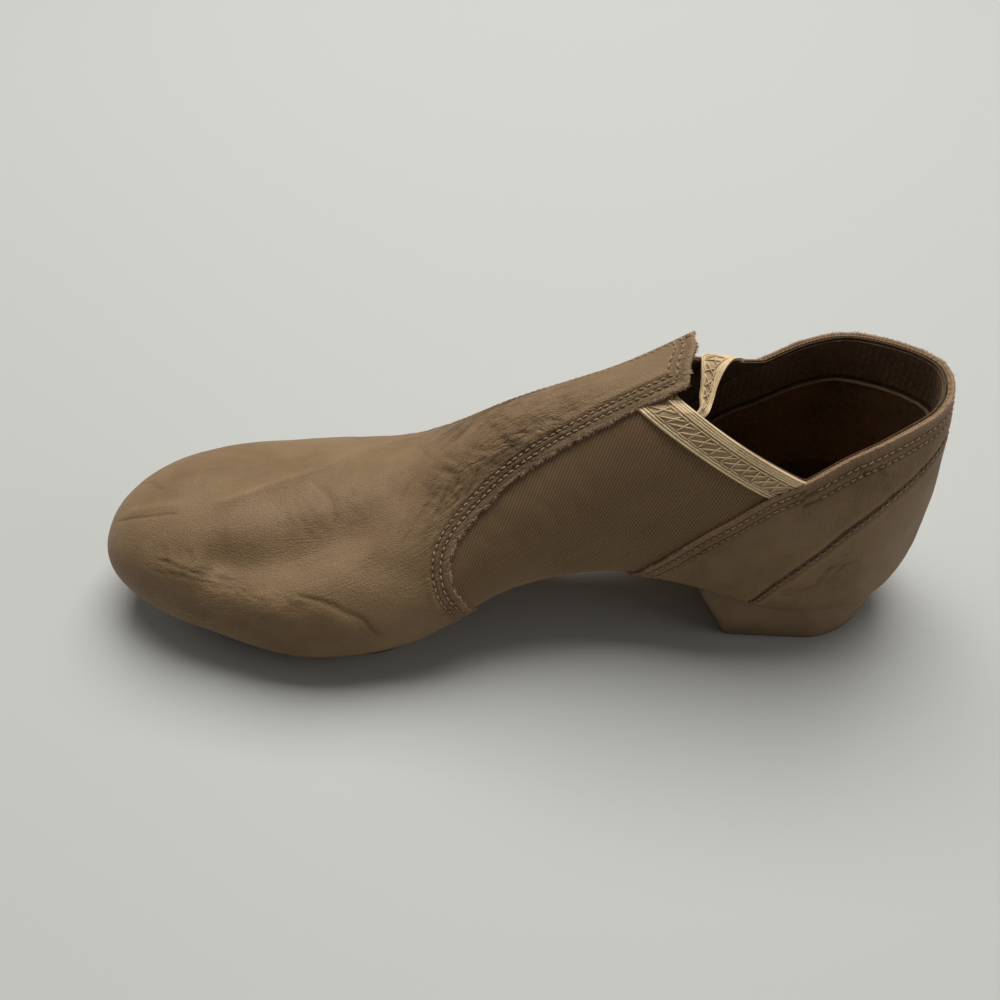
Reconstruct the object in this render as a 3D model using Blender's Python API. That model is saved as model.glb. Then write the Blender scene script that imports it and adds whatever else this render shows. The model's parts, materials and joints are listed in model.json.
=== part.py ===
"""Slip-on jazz shoe with a split sole, as separate sub-parts.

The toe points to -X and the heel to +X, +Z is up, and the shoe stands on z = 0.
Every soft piece is cut from one closed form of the shoe, swollen or shrunk by its
own depth in the wall, so that the layers stay parallel.
"""

import math
from collections import namedtuple

import bmesh
import bpy
import numpy as np

# Driving sizes, in metres
LENGTH = 0.240            # heel back to toe tip, over the leather
BALL_WIDTH = 0.080
WAIST_WIDTH = 0.051
HEEL_WIDTH = 0.056
TOE_HEIGHT = 0.037        # top of the toe above the floor
INSTEP_HEIGHT = 0.0755    # ridge of the vamp over the arch
COLLAR_HEIGHT = 0.0735    # rim at the heel back
HEEL_HEIGHT = 0.0083      # underside of the leather at the heel seat
ARCH_HEIGHT = 0.0190
TOE_SPRING = 0.0085
LEATHER = 0.0011
LINING = 0.0013           # stretch fabric with its lining
INSOLE = 0.0020
PATCH = 0.0019            # forefoot outsole
GAP = 0.0003              # between layers that touch

BLOCK_WIDTH = 0.0505      # heel block on the floor
BLOCK_FLARE = 0.0010      # how far it stands out under the leather
HOLE_SHARE = 0.50         # of the width, the openings under the foot
PATCH_SHARE = 0.80        # of the width, the forefoot outsole
ELASTIC_DROP = 0.0088     # upright depth of the elastic strip in the side view

STATIONS = 33
AROUND = 32
SEAM_STEPS = 2            # rows worked out between two rows of a seam table
REACH = 0.16              # how far a band cutter stands in and out, of the radius

# Form of the shoe. near and far are half widths, level is where it is widest,
# lean is how far the ridge stands over to the far side, and upper and lower are
# how square the section is above and below the level.
Section = namedtuple("Section", "share middle near far level crown lean upper lower")
SECTIONS = (
    Section(0.00, -0.010 * BALL_WIDTH, 0.39 * HEEL_WIDTH, 0.41 * HEEL_WIDTH,
            0.40 * COLLAR_HEIGHT, 1.28 * COLLAR_HEIGHT, 0.05 * BALL_WIDTH, 2.0, 3.0),
    Section(0.12, -0.010 * BALL_WIDTH, 0.49 * HEEL_WIDTH, 0.52 * HEEL_WIDTH,
            0.39 * COLLAR_HEIGHT, 1.30 * COLLAR_HEIGHT, 0.12 * BALL_WIDTH, 2.6, 6.5),
    Section(0.25, 0.000 * BALL_WIDTH, 0.53 * HEEL_WIDTH, 0.53 * HEEL_WIDTH,
            0.45 * COLLAR_HEIGHT, 1.19 * COLLAR_HEIGHT, 0.07 * BALL_WIDTH, 2.2, 4.5),
    Section(0.38, 0.000 * BALL_WIDTH, 0.50 * WAIST_WIDTH, 0.51 * WAIST_WIDTH,
            0.44 * INSTEP_HEIGHT, 1.005 * INSTEP_HEIGHT, 0.00 * BALL_WIDTH, 1.9, 3.5),
    Section(0.50, 0.000 * BALL_WIDTH, 0.57 * WAIST_WIDTH, 0.57 * WAIST_WIDTH,
            0.38 * INSTEP_HEIGHT, 0.835 * INSTEP_HEIGHT, 0.00 * BALL_WIDTH, 1.75, 3.0),
    Section(0.62, -0.010 * BALL_WIDTH, 0.470 * BALL_WIDTH, 0.465 * BALL_WIDTH,
            0.50 * TOE_HEIGHT, 1.20 * TOE_HEIGHT, 0.00 * BALL_WIDTH, 1.75, 3.0),
    Section(0.74, -0.010 * BALL_WIDTH, 0.505 * BALL_WIDTH, 0.497 * BALL_WIDTH,
            0.43 * TOE_HEIGHT, 1.025 * TOE_HEIGHT, 0.00 * BALL_WIDTH, 1.9, 3.4),
    Section(0.86, 0.000 * BALL_WIDTH, 0.430 * BALL_WIDTH, 0.434 * BALL_WIDTH,
            0.46 * TOE_HEIGHT, 0.995 * TOE_HEIGHT, 0.00 * BALL_WIDTH, 2.05, 3.0),
    Section(1.00, -0.006 * BALL_WIDTH, 0.352 * BALL_WIDTH, 0.358 * BALL_WIDTH,
            0.47 * TOE_HEIGHT, 0.92 * TOE_HEIGHT, 0.00 * BALL_WIDTH, 2.2, 2.6),
)

# Underside of the leather above the floor
BALL = PATCH + GAP
Rise = namedtuple("Rise", "share height")
UNDERSIDE = (
    Rise(0.00, HEEL_HEIGHT),
    Rise(0.13, HEEL_HEIGHT),
    Rise(0.20, HEEL_HEIGHT + 0.14 * (ARCH_HEIGHT - HEEL_HEIGHT)),
    Rise(0.27, HEEL_HEIGHT + 0.70 * (ARCH_HEIGHT - HEEL_HEIGHT)),
    Rise(0.38, ARCH_HEIGHT),
    Rise(0.50, BALL + 0.80 * (ARCH_HEIGHT - BALL)),
    Rise(0.58, BALL + 0.34 * (ARCH_HEIGHT - BALL)),
    Rise(0.63, BALL + 0.07 * (ARCH_HEIGHT - BALL)),
    Rise(0.67, BALL),
    Rise(0.715, BALL),
    Rise(0.76, BALL),
    Rise(0.86, BALL + 0.40 * TOE_SPRING),
    Rise(1.00, BALL + TOE_SPRING),
)

# Rounding of the two ends, as shares of the length: in plan, above and below
End = namedtuple("End", "plan above below power")
HEEL_END = End(0.130, 0.055, 0.060, 2.0)
TOE_END = End(0.200, 0.105, 0.060, 2.25)

# Lines in the side view, both sides alike. The rim runs down to the quarter's
# corner, and from there the elastic's edge climbs to its end under the vamp.
Place = namedtuple("Place", "share height")
RIM = (
    Place(-0.10, 1.005 * COLLAR_HEIGHT),
    Place(0.02, 1.000 * COLLAR_HEIGHT),
    Place(0.05, 0.985 * COLLAR_HEIGHT),
    Place(0.10, 0.955 * COLLAR_HEIGHT),
    Place(0.15, 0.895 * COLLAR_HEIGHT),
    Place(0.193, 0.815 * COLLAR_HEIGHT),
)
QUARTER_FRONT = (
    Place(0.407, 0.110 * COLLAR_HEIGHT),
    Place(0.382, 0.230 * COLLAR_HEIGHT),
    Place(0.357, 0.350 * COLLAR_HEIGHT),
    Place(0.329, 0.456 * COLLAR_HEIGHT),
    Place(0.296, 0.578 * COLLAR_HEIGHT),
    Place(0.263, 0.673 * COLLAR_HEIGHT),
    Place(0.233, 0.750 * COLLAR_HEIGHT),
    Place(0.195, 0.810 * COLLAR_HEIGHT),
)
COUNTER_SEAM = (
    Place(-0.10, 0.890 * COLLAR_HEIGHT),
    Place(0.000, 0.870 * COLLAR_HEIGHT),
    Place(0.025, 0.845 * COLLAR_HEIGHT),
    Place(0.063, 0.785 * COLLAR_HEIGHT),
    Place(0.102, 0.705 * COLLAR_HEIGHT),
    Place(0.133, 0.620 * COLLAR_HEIGHT),
    Place(0.162, 0.512 * COLLAR_HEIGHT),
    Place(0.193, 0.395 * COLLAR_HEIGHT),
    Place(0.218, 0.280 * COLLAR_HEIGHT),
    Place(0.238, 0.120 * COLLAR_HEIGHT),
    Place(0.262, -0.070 * COLLAR_HEIGHT),
)
THROAT_SHARE = 0.318      # rear end of the vamp
SLIT_SHARE = 0.335        # end of the elastic's edge under the vamp
SLIT_WRAP = 22.0

# Edge of the vamp down the near side, mirrored up the far side. wrap is the angle
# round the section in degrees: 0 on the ridge, 90 where it is widest, 180 underneath.
Seam = namedtuple("Seam", "share wrap")
VAMP_EDGE = (
    Seam(0.300, 21.0),
    Seam(0.324, 21.8),
    Seam(0.355, 23.6),
    Seam(0.388, 26.0),
    Seam(0.435, 30.6),
    Seam(0.483, 35.8),
    Seam(0.525, 41.6),
    Seam(0.563, 49.0),
    Seam(0.576, 58.5),
    Seam(0.572, 74.0),
    Seam(0.558, 93.0),
    Seam(0.546, 130.0),
    Seam(0.540, 180.0),
)
VAMP_BACK_SHARE = 0.26

# Ends of the elastic strip, at its top edge and at its lower edge
Ends = namedtuple("Ends", "top low")
ELASTIC_REAR = Ends(0.199, 0.236)
ELASTIC_FRONT = Ends(0.312, 0.366)
ELASTIC_ROWS = 6

# Heel block from the floor up, between its breast and its back. Above the leather's
# edge it draws in, so that only its top under the foot is left after the cut.
Ring = namedtuple("Ring", "height breast back half")
BLOCK = (
    Ring(0.0, 0.246, 0.040, 0.50 * BLOCK_WIDTH),
    Ring(0.6 * HEEL_HEIGHT, 0.254, 0.035, 0.50 * BLOCK_WIDTH + 0.7 * BLOCK_FLARE),
    Ring(1.1 * HEEL_HEIGHT, 0.263, 0.033, 0.50 * BLOCK_WIDTH + BLOCK_FLARE),
    Ring(1.0 * ARCH_HEIGHT, 0.287, 0.060, 0.46 * BLOCK_WIDTH),
    Ring(1.3 * ARCH_HEIGHT, 0.295, 0.080, 0.42 * BLOCK_WIDTH),
)
BLOCK_MIDDLE_SHARE = 0.12

MATERIALS = {
    "leather": ((0.30, 0.19, 0.115, 1.0), 0.50),
    "stretch": ((0.24, 0.155, 0.085, 1.0), 0.85),
    "elastic": ((0.42, 0.30, 0.18, 1.0), 0.80),
    "insole": ((0.16, 0.09, 0.05, 1.0), 0.90),
    "rubber": ((0.36, 0.24, 0.14, 1.0), 0.60),
}


def clear_scene():
    for item in list(bpy.data.objects):
        bpy.data.objects.remove(item, do_unlink=True)


def make_collection(name):
    collection = bpy.data.collections.new(name)
    bpy.context.scene.collection.children.link(collection)
    return collection


def make_material(name):
    colour, roughness = MATERIALS[name]
    material = bpy.data.materials.new(name)
    material.use_nodes = True
    shader = material.node_tree.nodes["Principled BSDF"]
    shader.inputs["Base Color"].default_value = colour
    shader.inputs["Roughness"].default_value = roughness
    shader.inputs["Metallic"].default_value = 0.0
    return material


def along(share):
    """X of a place given as its share of the length from the heel back."""
    return LENGTH / 2 - share * LENGTH


def curve(rows, column, share):
    """Smooth curve through one column of a table, by its share column."""
    x = np.array([row.share for row in rows])
    y = np.array([getattr(row, column) for row in rows])
    step = np.diff(x)
    rise = np.diff(y) / step
    slope = np.empty_like(y)
    slope[0] = rise[0]
    slope[-1] = rise[-1]
    slope[1:-1] = (rise[:-1] * step[1:] + rise[1:] * step[:-1]) / (step[:-1] + step[1:])
    at = np.clip(share, x[0], x[-1])
    k = np.clip(np.searchsorted(x, at, side="right") - 1, 0, len(x) - 2)
    t = (at - x[k]) / step[k]
    return (
        (2 * t**3 - 3 * t**2 + 1) * y[k]
        + (t**3 - 2 * t**2 + t) * step[k] * slope[k]
        + (3 * t**2 - 2 * t**3) * y[k + 1]
        + (t**3 - t**2) * step[k] * slope[k + 1]
    )


def rounded(share, reach, power):
    """Grows from 0 at the end to 1 at the reach, like the quarter of an ellipse."""
    away = np.clip(1 - share / reach, 0, 1)
    return (1 - away**power) ** (1 / power)


def underside(share):
    """Height of the leather's underside on the centre line, ends left out."""
    return curve(UNDERSIDE, "height", share)


def half_width(share, side):
    plan = rounded(share, HEEL_END.plan, HEEL_END.power)
    plan = plan * rounded(1 - share, TOE_END.plan, TOE_END.power)
    return curve(SECTIONS, side, share) * plan


def skin(share, wrap):
    """Points on the outside of the leather, for arrays of shares and wrap angles."""
    share, wrap = np.broadcast_arrays(np.asarray(share, float), np.asarray(wrap, float))
    turn = np.radians(wrap)
    level = curve(SECTIONS, "level", share)
    above = rounded(share, HEEL_END.above, 2) * rounded(1 - share, TOE_END.above, 2)
    below = rounded(share, HEEL_END.below, 2) * rounded(1 - share, TOE_END.below, 2)
    top = (curve(SECTIONS, "crown", share) - level) * above
    bottom = (level - underside(share)) * below
    over = np.cos(turn) > 0
    power = 2 / np.where(over, curve(SECTIONS, "upper", share), curve(SECTIONS, "lower", share))
    side = np.where(np.sin(turn) > 0, half_width(share, "near"), half_width(share, "far"))
    rise = np.sign(np.cos(turn)) * np.abs(np.cos(turn)) ** power
    y = -side * np.sign(np.sin(turn)) * np.abs(np.sin(turn)) ** power
    y = y + curve(SECTIONS, "middle", share) + curve(SECTIONS, "lean", share) * rise**2 * over
    return np.stack([along(share), y, level + np.where(over, top, bottom) * rise], -1)


def wrap_at(share, height):
    """Wrap angle of the place on the upper part of the skin at a height."""
    level = curve(SECTIONS, "level", share)
    rise = (height - level) / (curve(SECTIONS, "crown", share) - level)
    power = curve(SECTIONS, "upper", share) / 2
    return np.degrees(np.arccos(np.clip(rise, 0, 1) ** power))


def spine(share):
    """Point inside the shoe that a band cutter is scaled about."""
    inside = np.clip(share, HEEL_END.plan, 1 - TOE_END.plan)
    middle = curve(SECTIONS, "middle", inside)
    return np.stack([along(inside), middle, curve(SECTIONS, "level", inside)], -1)


def add_mesh(name, bm, collection):
    bmesh.ops.recalc_face_normals(bm, faces=bm.faces)
    mesh = bpy.data.meshes.new(name)
    bm.to_mesh(mesh)
    bm.free()
    piece = bpy.data.objects.new(name, mesh)
    collection.objects.link(piece)
    return piece


def hide_cutter(cutter):
    cutter.hide_render = True
    cutter.display_type = "WIRE"
    return cutter


def cut(piece, cutter, operation="DIFFERENCE"):
    boolean = piece.modifiers.new(operation.title(), "BOOLEAN")
    boolean.operation = operation
    boolean.solver = "EXACT"
    boolean.object = cutter


def bridge(bm, first, second):
    """Quads between two closed rings of vertices with as many points each."""
    count = len(first)
    for i in range(count):
        j = (i + 1) % count
        bm.faces.new((first[i], first[j], second[j], second[i]))


def fan(bm, tip, ring):
    count = len(ring)
    for i in range(count):
        bm.faces.new((tip, ring[i], ring[(i + 1) % count]))


def make_form(name, depth, collection):
    """Closed form of the shoe, at a depth under the outside of the leather."""
    t = np.arange(1, STATIONS) / STATIONS
    shares = 0.7 * 0.5 * (1 - np.cos(math.pi * t)) + 0.3 * t
    wraps = np.arange(AROUND) * 360 / AROUND
    bm = bmesh.new()
    grid = skin(shares[:, None], wraps[None, :])
    rings = [[bm.verts.new(point) for point in ring] for ring in grid]
    for first, second in zip(rings, rings[1:]):
        bridge(bm, first, second)
    fan(bm, bm.verts.new(skin(0.0, 0.0)), rings[0])
    fan(bm, bm.verts.new(skin(1.0, 0.0)), rings[-1])
    bmesh.ops.recalc_face_normals(bm, faces=bm.faces)
    bm.normal_update()
    moves = [(v, v.normal.copy() * v.calc_shell_factor()) for v in bm.verts]
    for vertex, move in moves:
        vertex.co -= move * depth
    return add_mesh(name, bm, collection)


def make_prism(name, outline, direction, collection):
    """Flat outline pushed along a direction, as a closed cutter."""
    bm = bmesh.new()
    face = bm.faces.new([bm.verts.new(point) for point in outline])
    pushed = bmesh.ops.extrude_face_region(bm, geom=[face])
    moved = [v for v in pushed["geom"] if isinstance(v, bmesh.types.BMVert)]
    bmesh.ops.translate(bm, verts=moved, vec=direction)
    return hide_cutter(add_mesh(name, bm, collection))


def side_prism(name, outline, collection):
    """Cutter through the whole shoe from an outline in the side view."""
    points = [(x, -BALL_WIDTH, z) for x, z in outline]
    return make_prism(name, points, (0, 2 * BALL_WIDTH, 0), collection)


def roof():
    return 2 * COLLAR_HEIGHT + 2 * INSTEP_HEIGHT


def side_line(rows, shift=0.0):
    """Side-view points of a line, moved square to itself by a shift."""
    points = np.array([(along(row.share), row.height) for row in rows])
    run = np.gradient(points, axis=0)
    run /= np.linalg.norm(run, axis=1, keepdims=True)
    return points + shift * np.stack([-run[:, 1], run[:, 0]], -1)


def slit_height(share):
    """Height of the elastic's top edge between the quarter's corner and the vamp."""
    corner = RIM[-1]
    end = skin(SLIT_SHARE, SLIT_WRAP)[2]
    slope = (end - corner.height) / (SLIT_SHARE - corner.share)
    return corner.height + slope * (share - corner.share)


def make_opening(collection):
    """Everything above the collar's rim and the elastic strips, to the vamp."""
    rim = [tuple(point) for point in side_line(RIM)]
    rim.append((along(SLIT_SHARE), slit_height(SLIT_SHARE)))
    rim.append((along(SLIT_SHARE), roof()))
    rim.append((rim[0][0], roof()))
    return side_prism("opening_cutter", rim, collection)


def make_rear_block(name, share, collection):
    """Cutter of everything behind a share of the length."""
    near_x, far_x = along(share), along(-0.2)
    floor = -BALL_WIDTH
    outline = ((near_x, floor), (far_x, floor), (far_x, roof()), (near_x, roof()))
    return side_prism(name, outline, collection)


def plan_outline(start, end, width_share, steps):
    """Points round a foot-shaped plan between two shares: near side, then far side."""
    t = 0.5 * (1 - np.cos(np.linspace(0, math.pi, steps)))
    share = start + (end - start) * t
    ends = rounded(t, 0.25, 2.4) * rounded(1 - t, 0.25, 2.4)
    middle = curve(SECTIONS, "middle", share)
    near = middle - width_share * ends * half_width(share, "near")
    far = middle + width_share * ends * half_width(share, "far")
    return share, near, far


def make_hole(name, start, end, height, collection):
    """Opening under the foot, inside the sole or heel that closes it."""
    share, near, far = plan_outline(start, end, HOLE_SHARE, 9)
    floor = -BALL_WIDTH
    outline = [(along(s), y, floor) for s, y in zip(share, near)]
    outline += [(along(s), y, floor) for s, y in zip(share[-2:0:-1], far[-2:0:-1])]
    return make_prism(name, outline, (0, 0, height - floor), collection)


def refine(rows):
    """More rows between the rows of a seam or band table, on smooth curves."""
    count = len(rows)
    fine = np.linspace(0, count - 1, (count - 1) * SEAM_STEPS + 1)
    columns = []
    for column in np.array(rows, float).T:
        places = [Place(float(i), float(value)) for i, value in enumerate(column)]
        columns.append(curve(places, "height", fine))
    return np.stack(columns, -1)


def make_band(name, rows, trim, collection, side=1, columns=8):
    """Thick patch over the leather between two seams, for cutting a piece out.

    rows holds share, wrap, share, wrap from one seam to the other, and trim
    draws both seams in, or out where it is negative.
    """
    rows = refine(rows)
    mix = np.linspace(0, 1, columns)[None, :]
    share = rows[:, 0:1] * (1 - mix) + rows[:, 2:3] * mix
    wrap = rows[:, 1:2] * (1 - mix) + rows[:, 3:4] * mix
    patch = skin(share, side * wrap)
    for edge, inner in ((0, 1), (-1, -2)):
        inward = patch[:, inner] - patch[:, edge]
        inward /= np.linalg.norm(inward, axis=-1, keepdims=True)
        patch[:, edge] += inward * trim
    centre = spine(share)
    bm = bmesh.new()
    sheets = []
    for scale in (1 - REACH, 1 + REACH):
        points = centre + (patch - centre) * scale
        sheets.append([[bm.verts.new(p) for p in row] for row in points])
    last_row, last_column = len(rows) - 1, columns - 1
    for sheet in sheets:
        for i in range(last_row):
            for j in range(last_column):
                bm.faces.new((sheet[i][j], sheet[i + 1][j], sheet[i + 1][j + 1], sheet[i][j + 1]))
    edge = [(i, 0) for i in range(last_row)]
    edge += [(last_row, j) for j in range(last_column)]
    edge += [(i, last_column) for i in range(last_row, 0, -1)]
    edge += [(0, j) for j in range(last_column, 0, -1)]
    low = [sheets[0][i][j] for i, j in edge]
    high = [sheets[1][i][j] for i, j in edge]
    bridge(bm, low, high)
    return hide_cutter(add_mesh(name, bm, collection))


def make_slab(name, share, near, far, low, high, collection):
    """Loft of upright rectangles along the shoe, wide as the plan outline."""
    bm = bmesh.new()
    rings = []
    for s, a, b, c, d in zip(share, near, far, low, high):
        x = along(s)
        corners = ((x, a, c), (x, b, c), (x, b, d), (x, a, d))
        rings.append([bm.verts.new(corner) for corner in corners])
    for first, second in zip(rings, rings[1:]):
        bridge(bm, first, second)
    bm.faces.new(rings[0])
    bm.faces.new(rings[-1])
    return add_mesh(name, bm, collection)


def make_sock(parts, tools):
    """Stretch upper with its lining: the hollow shoe under the leather."""
    upper = make_form("upper", LEATHER + GAP, parts)
    cut(upper, tools["sock_inside"])
    for tool in ("opening", "ball_hole", "heel_hole"):
        cut(upper, tools[tool])


def start_leather(name, parts, tools):
    piece = make_form(name, 0.0, parts)
    cut(piece, tools["leather_inside"])
    return piece


def make_vamp(parts, cutters, tools):
    """Leather in front of the seam that runs from the throat down and underneath."""
    vamp = start_leather("vamp", parts, tools)
    cut(vamp, make_rear_block("vamp_rear_cutter", THROAT_SHARE, cutters))
    down = [(row.share, row.wrap) for row in VAMP_EDGE]
    up = [(share, 360 - wrap) for share, wrap in down[-2::-1]]
    rows = [(share, wrap, VAMP_BACK_SHARE, wrap) for share, wrap in down + up]
    cut(vamp, make_band("vamp_cutter", rows, -GAP / 2, cutters))
    cut(vamp, tools["ball_hole"])


def make_quarter(parts, cutters, tools):
    """Leather between the counter's seam and the quarter's front edge."""
    quarter = start_leather("quarter", parts, tools)
    cut(quarter, tools["opening"])
    seam = side_line(COUNTER_SEAM, -GAP / 2)
    front = side_line(QUARTER_FRONT)
    outline = [*seam, *front, (front[-1][0], roof()), (seam[0][0], roof())]
    cut(quarter, side_prism("quarter_cutter", outline, cutters), "INTERSECT")


def make_counter(parts, cutters, tools):
    """Leather below and behind the counter's seam."""
    counter = start_leather("heel_counter", parts, tools)
    seam = side_line(COUNTER_SEAM, GAP / 2)
    front = along(1.2)
    outline = [*seam, (front, seam[-1][1]), (front, roof()), (seam[0][0], roof())]
    cut(counter, side_prism("counter_cutter", outline, cutters))
    cut(counter, tools["heel_hole"])


def elastic_rows():
    """Band table of the strip: its top edge, above the cut, and its lower edge."""
    rows = []
    for mix in np.linspace(0, 1, ELASTIC_ROWS):
        top = ELASTIC_REAR.top * (1 - mix) + ELASTIC_FRONT.top * mix
        low = ELASTIC_REAR.low * (1 - mix) + ELASTIC_FRONT.low * mix
        above = wrap_at(top, slit_height(top) + LEATHER)
        rows.append((top, above, low, wrap_at(low, slit_height(low) - ELASTIC_DROP)))
    return rows


def make_elastic(parts, cutters, tools):
    for name, side in (("near", 1), ("far", -1)):
        strip = start_leather(f"elastic_{name}", parts, tools)
        cut(strip, tools["opening"])
        band = make_band(f"elastic_{name}_band", elastic_rows(), GAP, cutters, side)
        cut(strip, band, "INTERSECT")


def make_insole(parts, cutters):
    wall = LEATHER + LINING + 2 * GAP
    insole = make_form("insole", wall, parts)
    share = np.linspace(-0.05, 1.05, 34)
    top = underside(share) + wall + INSOLE
    near = np.full_like(share, -BALL_WIDTH)
    low = np.full_like(share, -BALL_WIDTH)
    slab = make_slab("insole_slab", share, near, -near, low, top, cutters)
    cut(insole, hide_cutter(slab), "INTERSECT")


def make_patch(parts, tools):
    """Forefoot outsole, flat on the floor at the ball and raised at the toe."""
    share, near, far = plan_outline(0.585, 0.935, PATCH_SHARE, 22)
    keep = slice(1, -1)
    share, near, far = share[keep], near[keep], far[keep]
    low = np.maximum(underside(share) - GAP - PATCH, 0.0)
    high = low + 0.5 * TOE_HEIGHT
    patch = make_slab("forefoot_outsole", share, near, far, low, high, parts)
    cut(patch, tools["outside"])


def block_outline(ring):
    """D-shaped outline of the heel block: straight breast, round back."""
    middle = curve(SECTIONS, "middle", BLOCK_MIDDLE_SHARE)
    points = []
    for turn in np.radians(np.linspace(-90, 90, 17)):
        x = along(ring.back) - ring.half + ring.half * math.cos(turn)
        points.append((x, middle + ring.half * math.sin(turn), ring.height))
    points.append((along(ring.breast), middle + ring.half, ring.height))
    points.append((along(ring.breast), middle - ring.half, ring.height))
    return points


def make_block(parts, tools):
    """Low rubber heel, hollowed on top to the leather's underside."""
    bm = bmesh.new()
    rings = [[bm.verts.new(point) for point in block_outline(ring)] for ring in BLOCK]
    for first, second in zip(rings, rings[1:]):
        bridge(bm, first, second)
    bm.faces.new(rings[0])
    bm.faces.new(rings[-1])
    block = add_mesh("heel_block", bm, parts)
    cut(block, tools["outside"])


def finish(parts):
    """Gives each part its material and its shading."""
    slots = {
        "upper": "stretch",
        "vamp": "leather",
        "quarter": "leather",
        "heel_counter": "leather",
        "elastic_near": "elastic",
        "elastic_far": "elastic",
        "insole": "insole",
        "forefoot_outsole": "rubber",
        "heel_block": "rubber",
    }
    materials = {name: make_material(name) for name in MATERIALS}
    for piece in parts.objects:
        piece.data.materials.append(materials[slots[piece.name]])
        piece.data.shade_smooth()
        piece.data.set_sharp_from_angle(angle=math.radians(40))


def main():
    clear_scene()
    parts = make_collection("jazz_shoe")
    cutters = make_collection("cutters")
    tools = {
        "outside": hide_cutter(make_form("outside_cutter", -GAP, cutters)),
        "leather_inside": hide_cutter(make_form("leather_inside_cutter", LEATHER, cutters)),
        "sock_inside": hide_cutter(make_form("sock_inside_cutter", LEATHER + GAP + LINING, cutters)),
        "opening": make_opening(cutters),
        "ball_hole": make_hole("ball_hole_cutter", 0.64, 0.87, 0.4 * TOE_HEIGHT, cutters),
        "heel_hole": make_hole("heel_hole_cutter", 0.07, 0.20, 0.25 * COLLAR_HEIGHT, cutters),
    }
    make_sock(parts, tools)
    make_vamp(parts, cutters, tools)
    make_quarter(parts, cutters, tools)
    make_counter(parts, cutters, tools)
    make_elastic(parts, cutters, tools)
    make_insole(parts, cutters)
    make_patch(parts, tools)
    make_block(parts, tools)
    finish(parts)


main()
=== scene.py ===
"""Looks of a slip-on jazz shoe: soft leather over a stretch upper, with its seams.

The toe points to -X, the heel to +X and the near side to -Y. Every layer follows the
shoe's own form, worked out below from named sizes, at its own depth in the wall.
"""

import json
import math
import random
from collections import namedtuple

import bpy
import numpy as np
from mathutils import Matrix, Vector, noise
from mathutils.bvhtree import BVHTree
from mathutils.kdtree import KDTree
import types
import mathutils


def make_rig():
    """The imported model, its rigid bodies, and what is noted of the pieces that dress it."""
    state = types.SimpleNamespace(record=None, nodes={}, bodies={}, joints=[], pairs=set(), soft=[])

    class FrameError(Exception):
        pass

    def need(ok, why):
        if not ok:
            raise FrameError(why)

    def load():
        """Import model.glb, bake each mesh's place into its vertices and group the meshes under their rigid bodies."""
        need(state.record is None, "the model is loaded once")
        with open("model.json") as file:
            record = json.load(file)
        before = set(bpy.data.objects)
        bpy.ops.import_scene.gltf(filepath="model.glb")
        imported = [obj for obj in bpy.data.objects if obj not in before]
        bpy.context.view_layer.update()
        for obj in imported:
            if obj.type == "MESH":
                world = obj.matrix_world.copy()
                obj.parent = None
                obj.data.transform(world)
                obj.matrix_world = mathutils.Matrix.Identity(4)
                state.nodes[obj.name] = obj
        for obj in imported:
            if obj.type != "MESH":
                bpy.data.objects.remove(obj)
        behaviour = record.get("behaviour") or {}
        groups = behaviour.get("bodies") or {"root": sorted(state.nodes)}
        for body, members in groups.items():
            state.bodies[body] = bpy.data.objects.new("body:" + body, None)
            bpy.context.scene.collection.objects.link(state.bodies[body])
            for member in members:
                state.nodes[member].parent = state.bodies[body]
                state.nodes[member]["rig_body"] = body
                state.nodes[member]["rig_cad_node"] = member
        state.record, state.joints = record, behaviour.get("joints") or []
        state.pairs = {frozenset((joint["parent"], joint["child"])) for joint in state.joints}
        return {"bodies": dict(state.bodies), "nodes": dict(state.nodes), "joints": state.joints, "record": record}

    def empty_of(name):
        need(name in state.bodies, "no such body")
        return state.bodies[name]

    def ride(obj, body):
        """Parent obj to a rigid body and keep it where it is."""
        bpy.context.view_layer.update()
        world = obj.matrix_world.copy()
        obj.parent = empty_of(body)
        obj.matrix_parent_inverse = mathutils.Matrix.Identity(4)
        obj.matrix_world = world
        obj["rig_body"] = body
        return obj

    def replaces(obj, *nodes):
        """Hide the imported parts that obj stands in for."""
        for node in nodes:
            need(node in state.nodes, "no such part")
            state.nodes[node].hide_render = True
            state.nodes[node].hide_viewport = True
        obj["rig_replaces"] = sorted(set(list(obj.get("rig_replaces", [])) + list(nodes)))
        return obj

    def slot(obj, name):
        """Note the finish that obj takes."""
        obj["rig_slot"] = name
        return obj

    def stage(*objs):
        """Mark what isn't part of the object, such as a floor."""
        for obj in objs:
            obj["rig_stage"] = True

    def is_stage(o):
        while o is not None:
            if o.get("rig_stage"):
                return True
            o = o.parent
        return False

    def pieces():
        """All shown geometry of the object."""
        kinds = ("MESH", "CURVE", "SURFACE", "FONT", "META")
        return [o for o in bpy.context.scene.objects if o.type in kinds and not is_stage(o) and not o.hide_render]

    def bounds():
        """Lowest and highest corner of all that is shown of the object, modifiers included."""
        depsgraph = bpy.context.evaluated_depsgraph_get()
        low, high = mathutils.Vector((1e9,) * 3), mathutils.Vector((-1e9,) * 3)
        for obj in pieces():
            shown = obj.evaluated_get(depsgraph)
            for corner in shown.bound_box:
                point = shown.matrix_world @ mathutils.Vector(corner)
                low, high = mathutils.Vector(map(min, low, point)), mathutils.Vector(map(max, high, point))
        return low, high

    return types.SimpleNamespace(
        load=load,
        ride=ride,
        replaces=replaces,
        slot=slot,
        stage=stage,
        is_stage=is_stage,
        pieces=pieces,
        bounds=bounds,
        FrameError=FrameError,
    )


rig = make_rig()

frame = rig.load()
CAD_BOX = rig.bounds()
BODY = "root"
MM = 0.001

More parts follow.
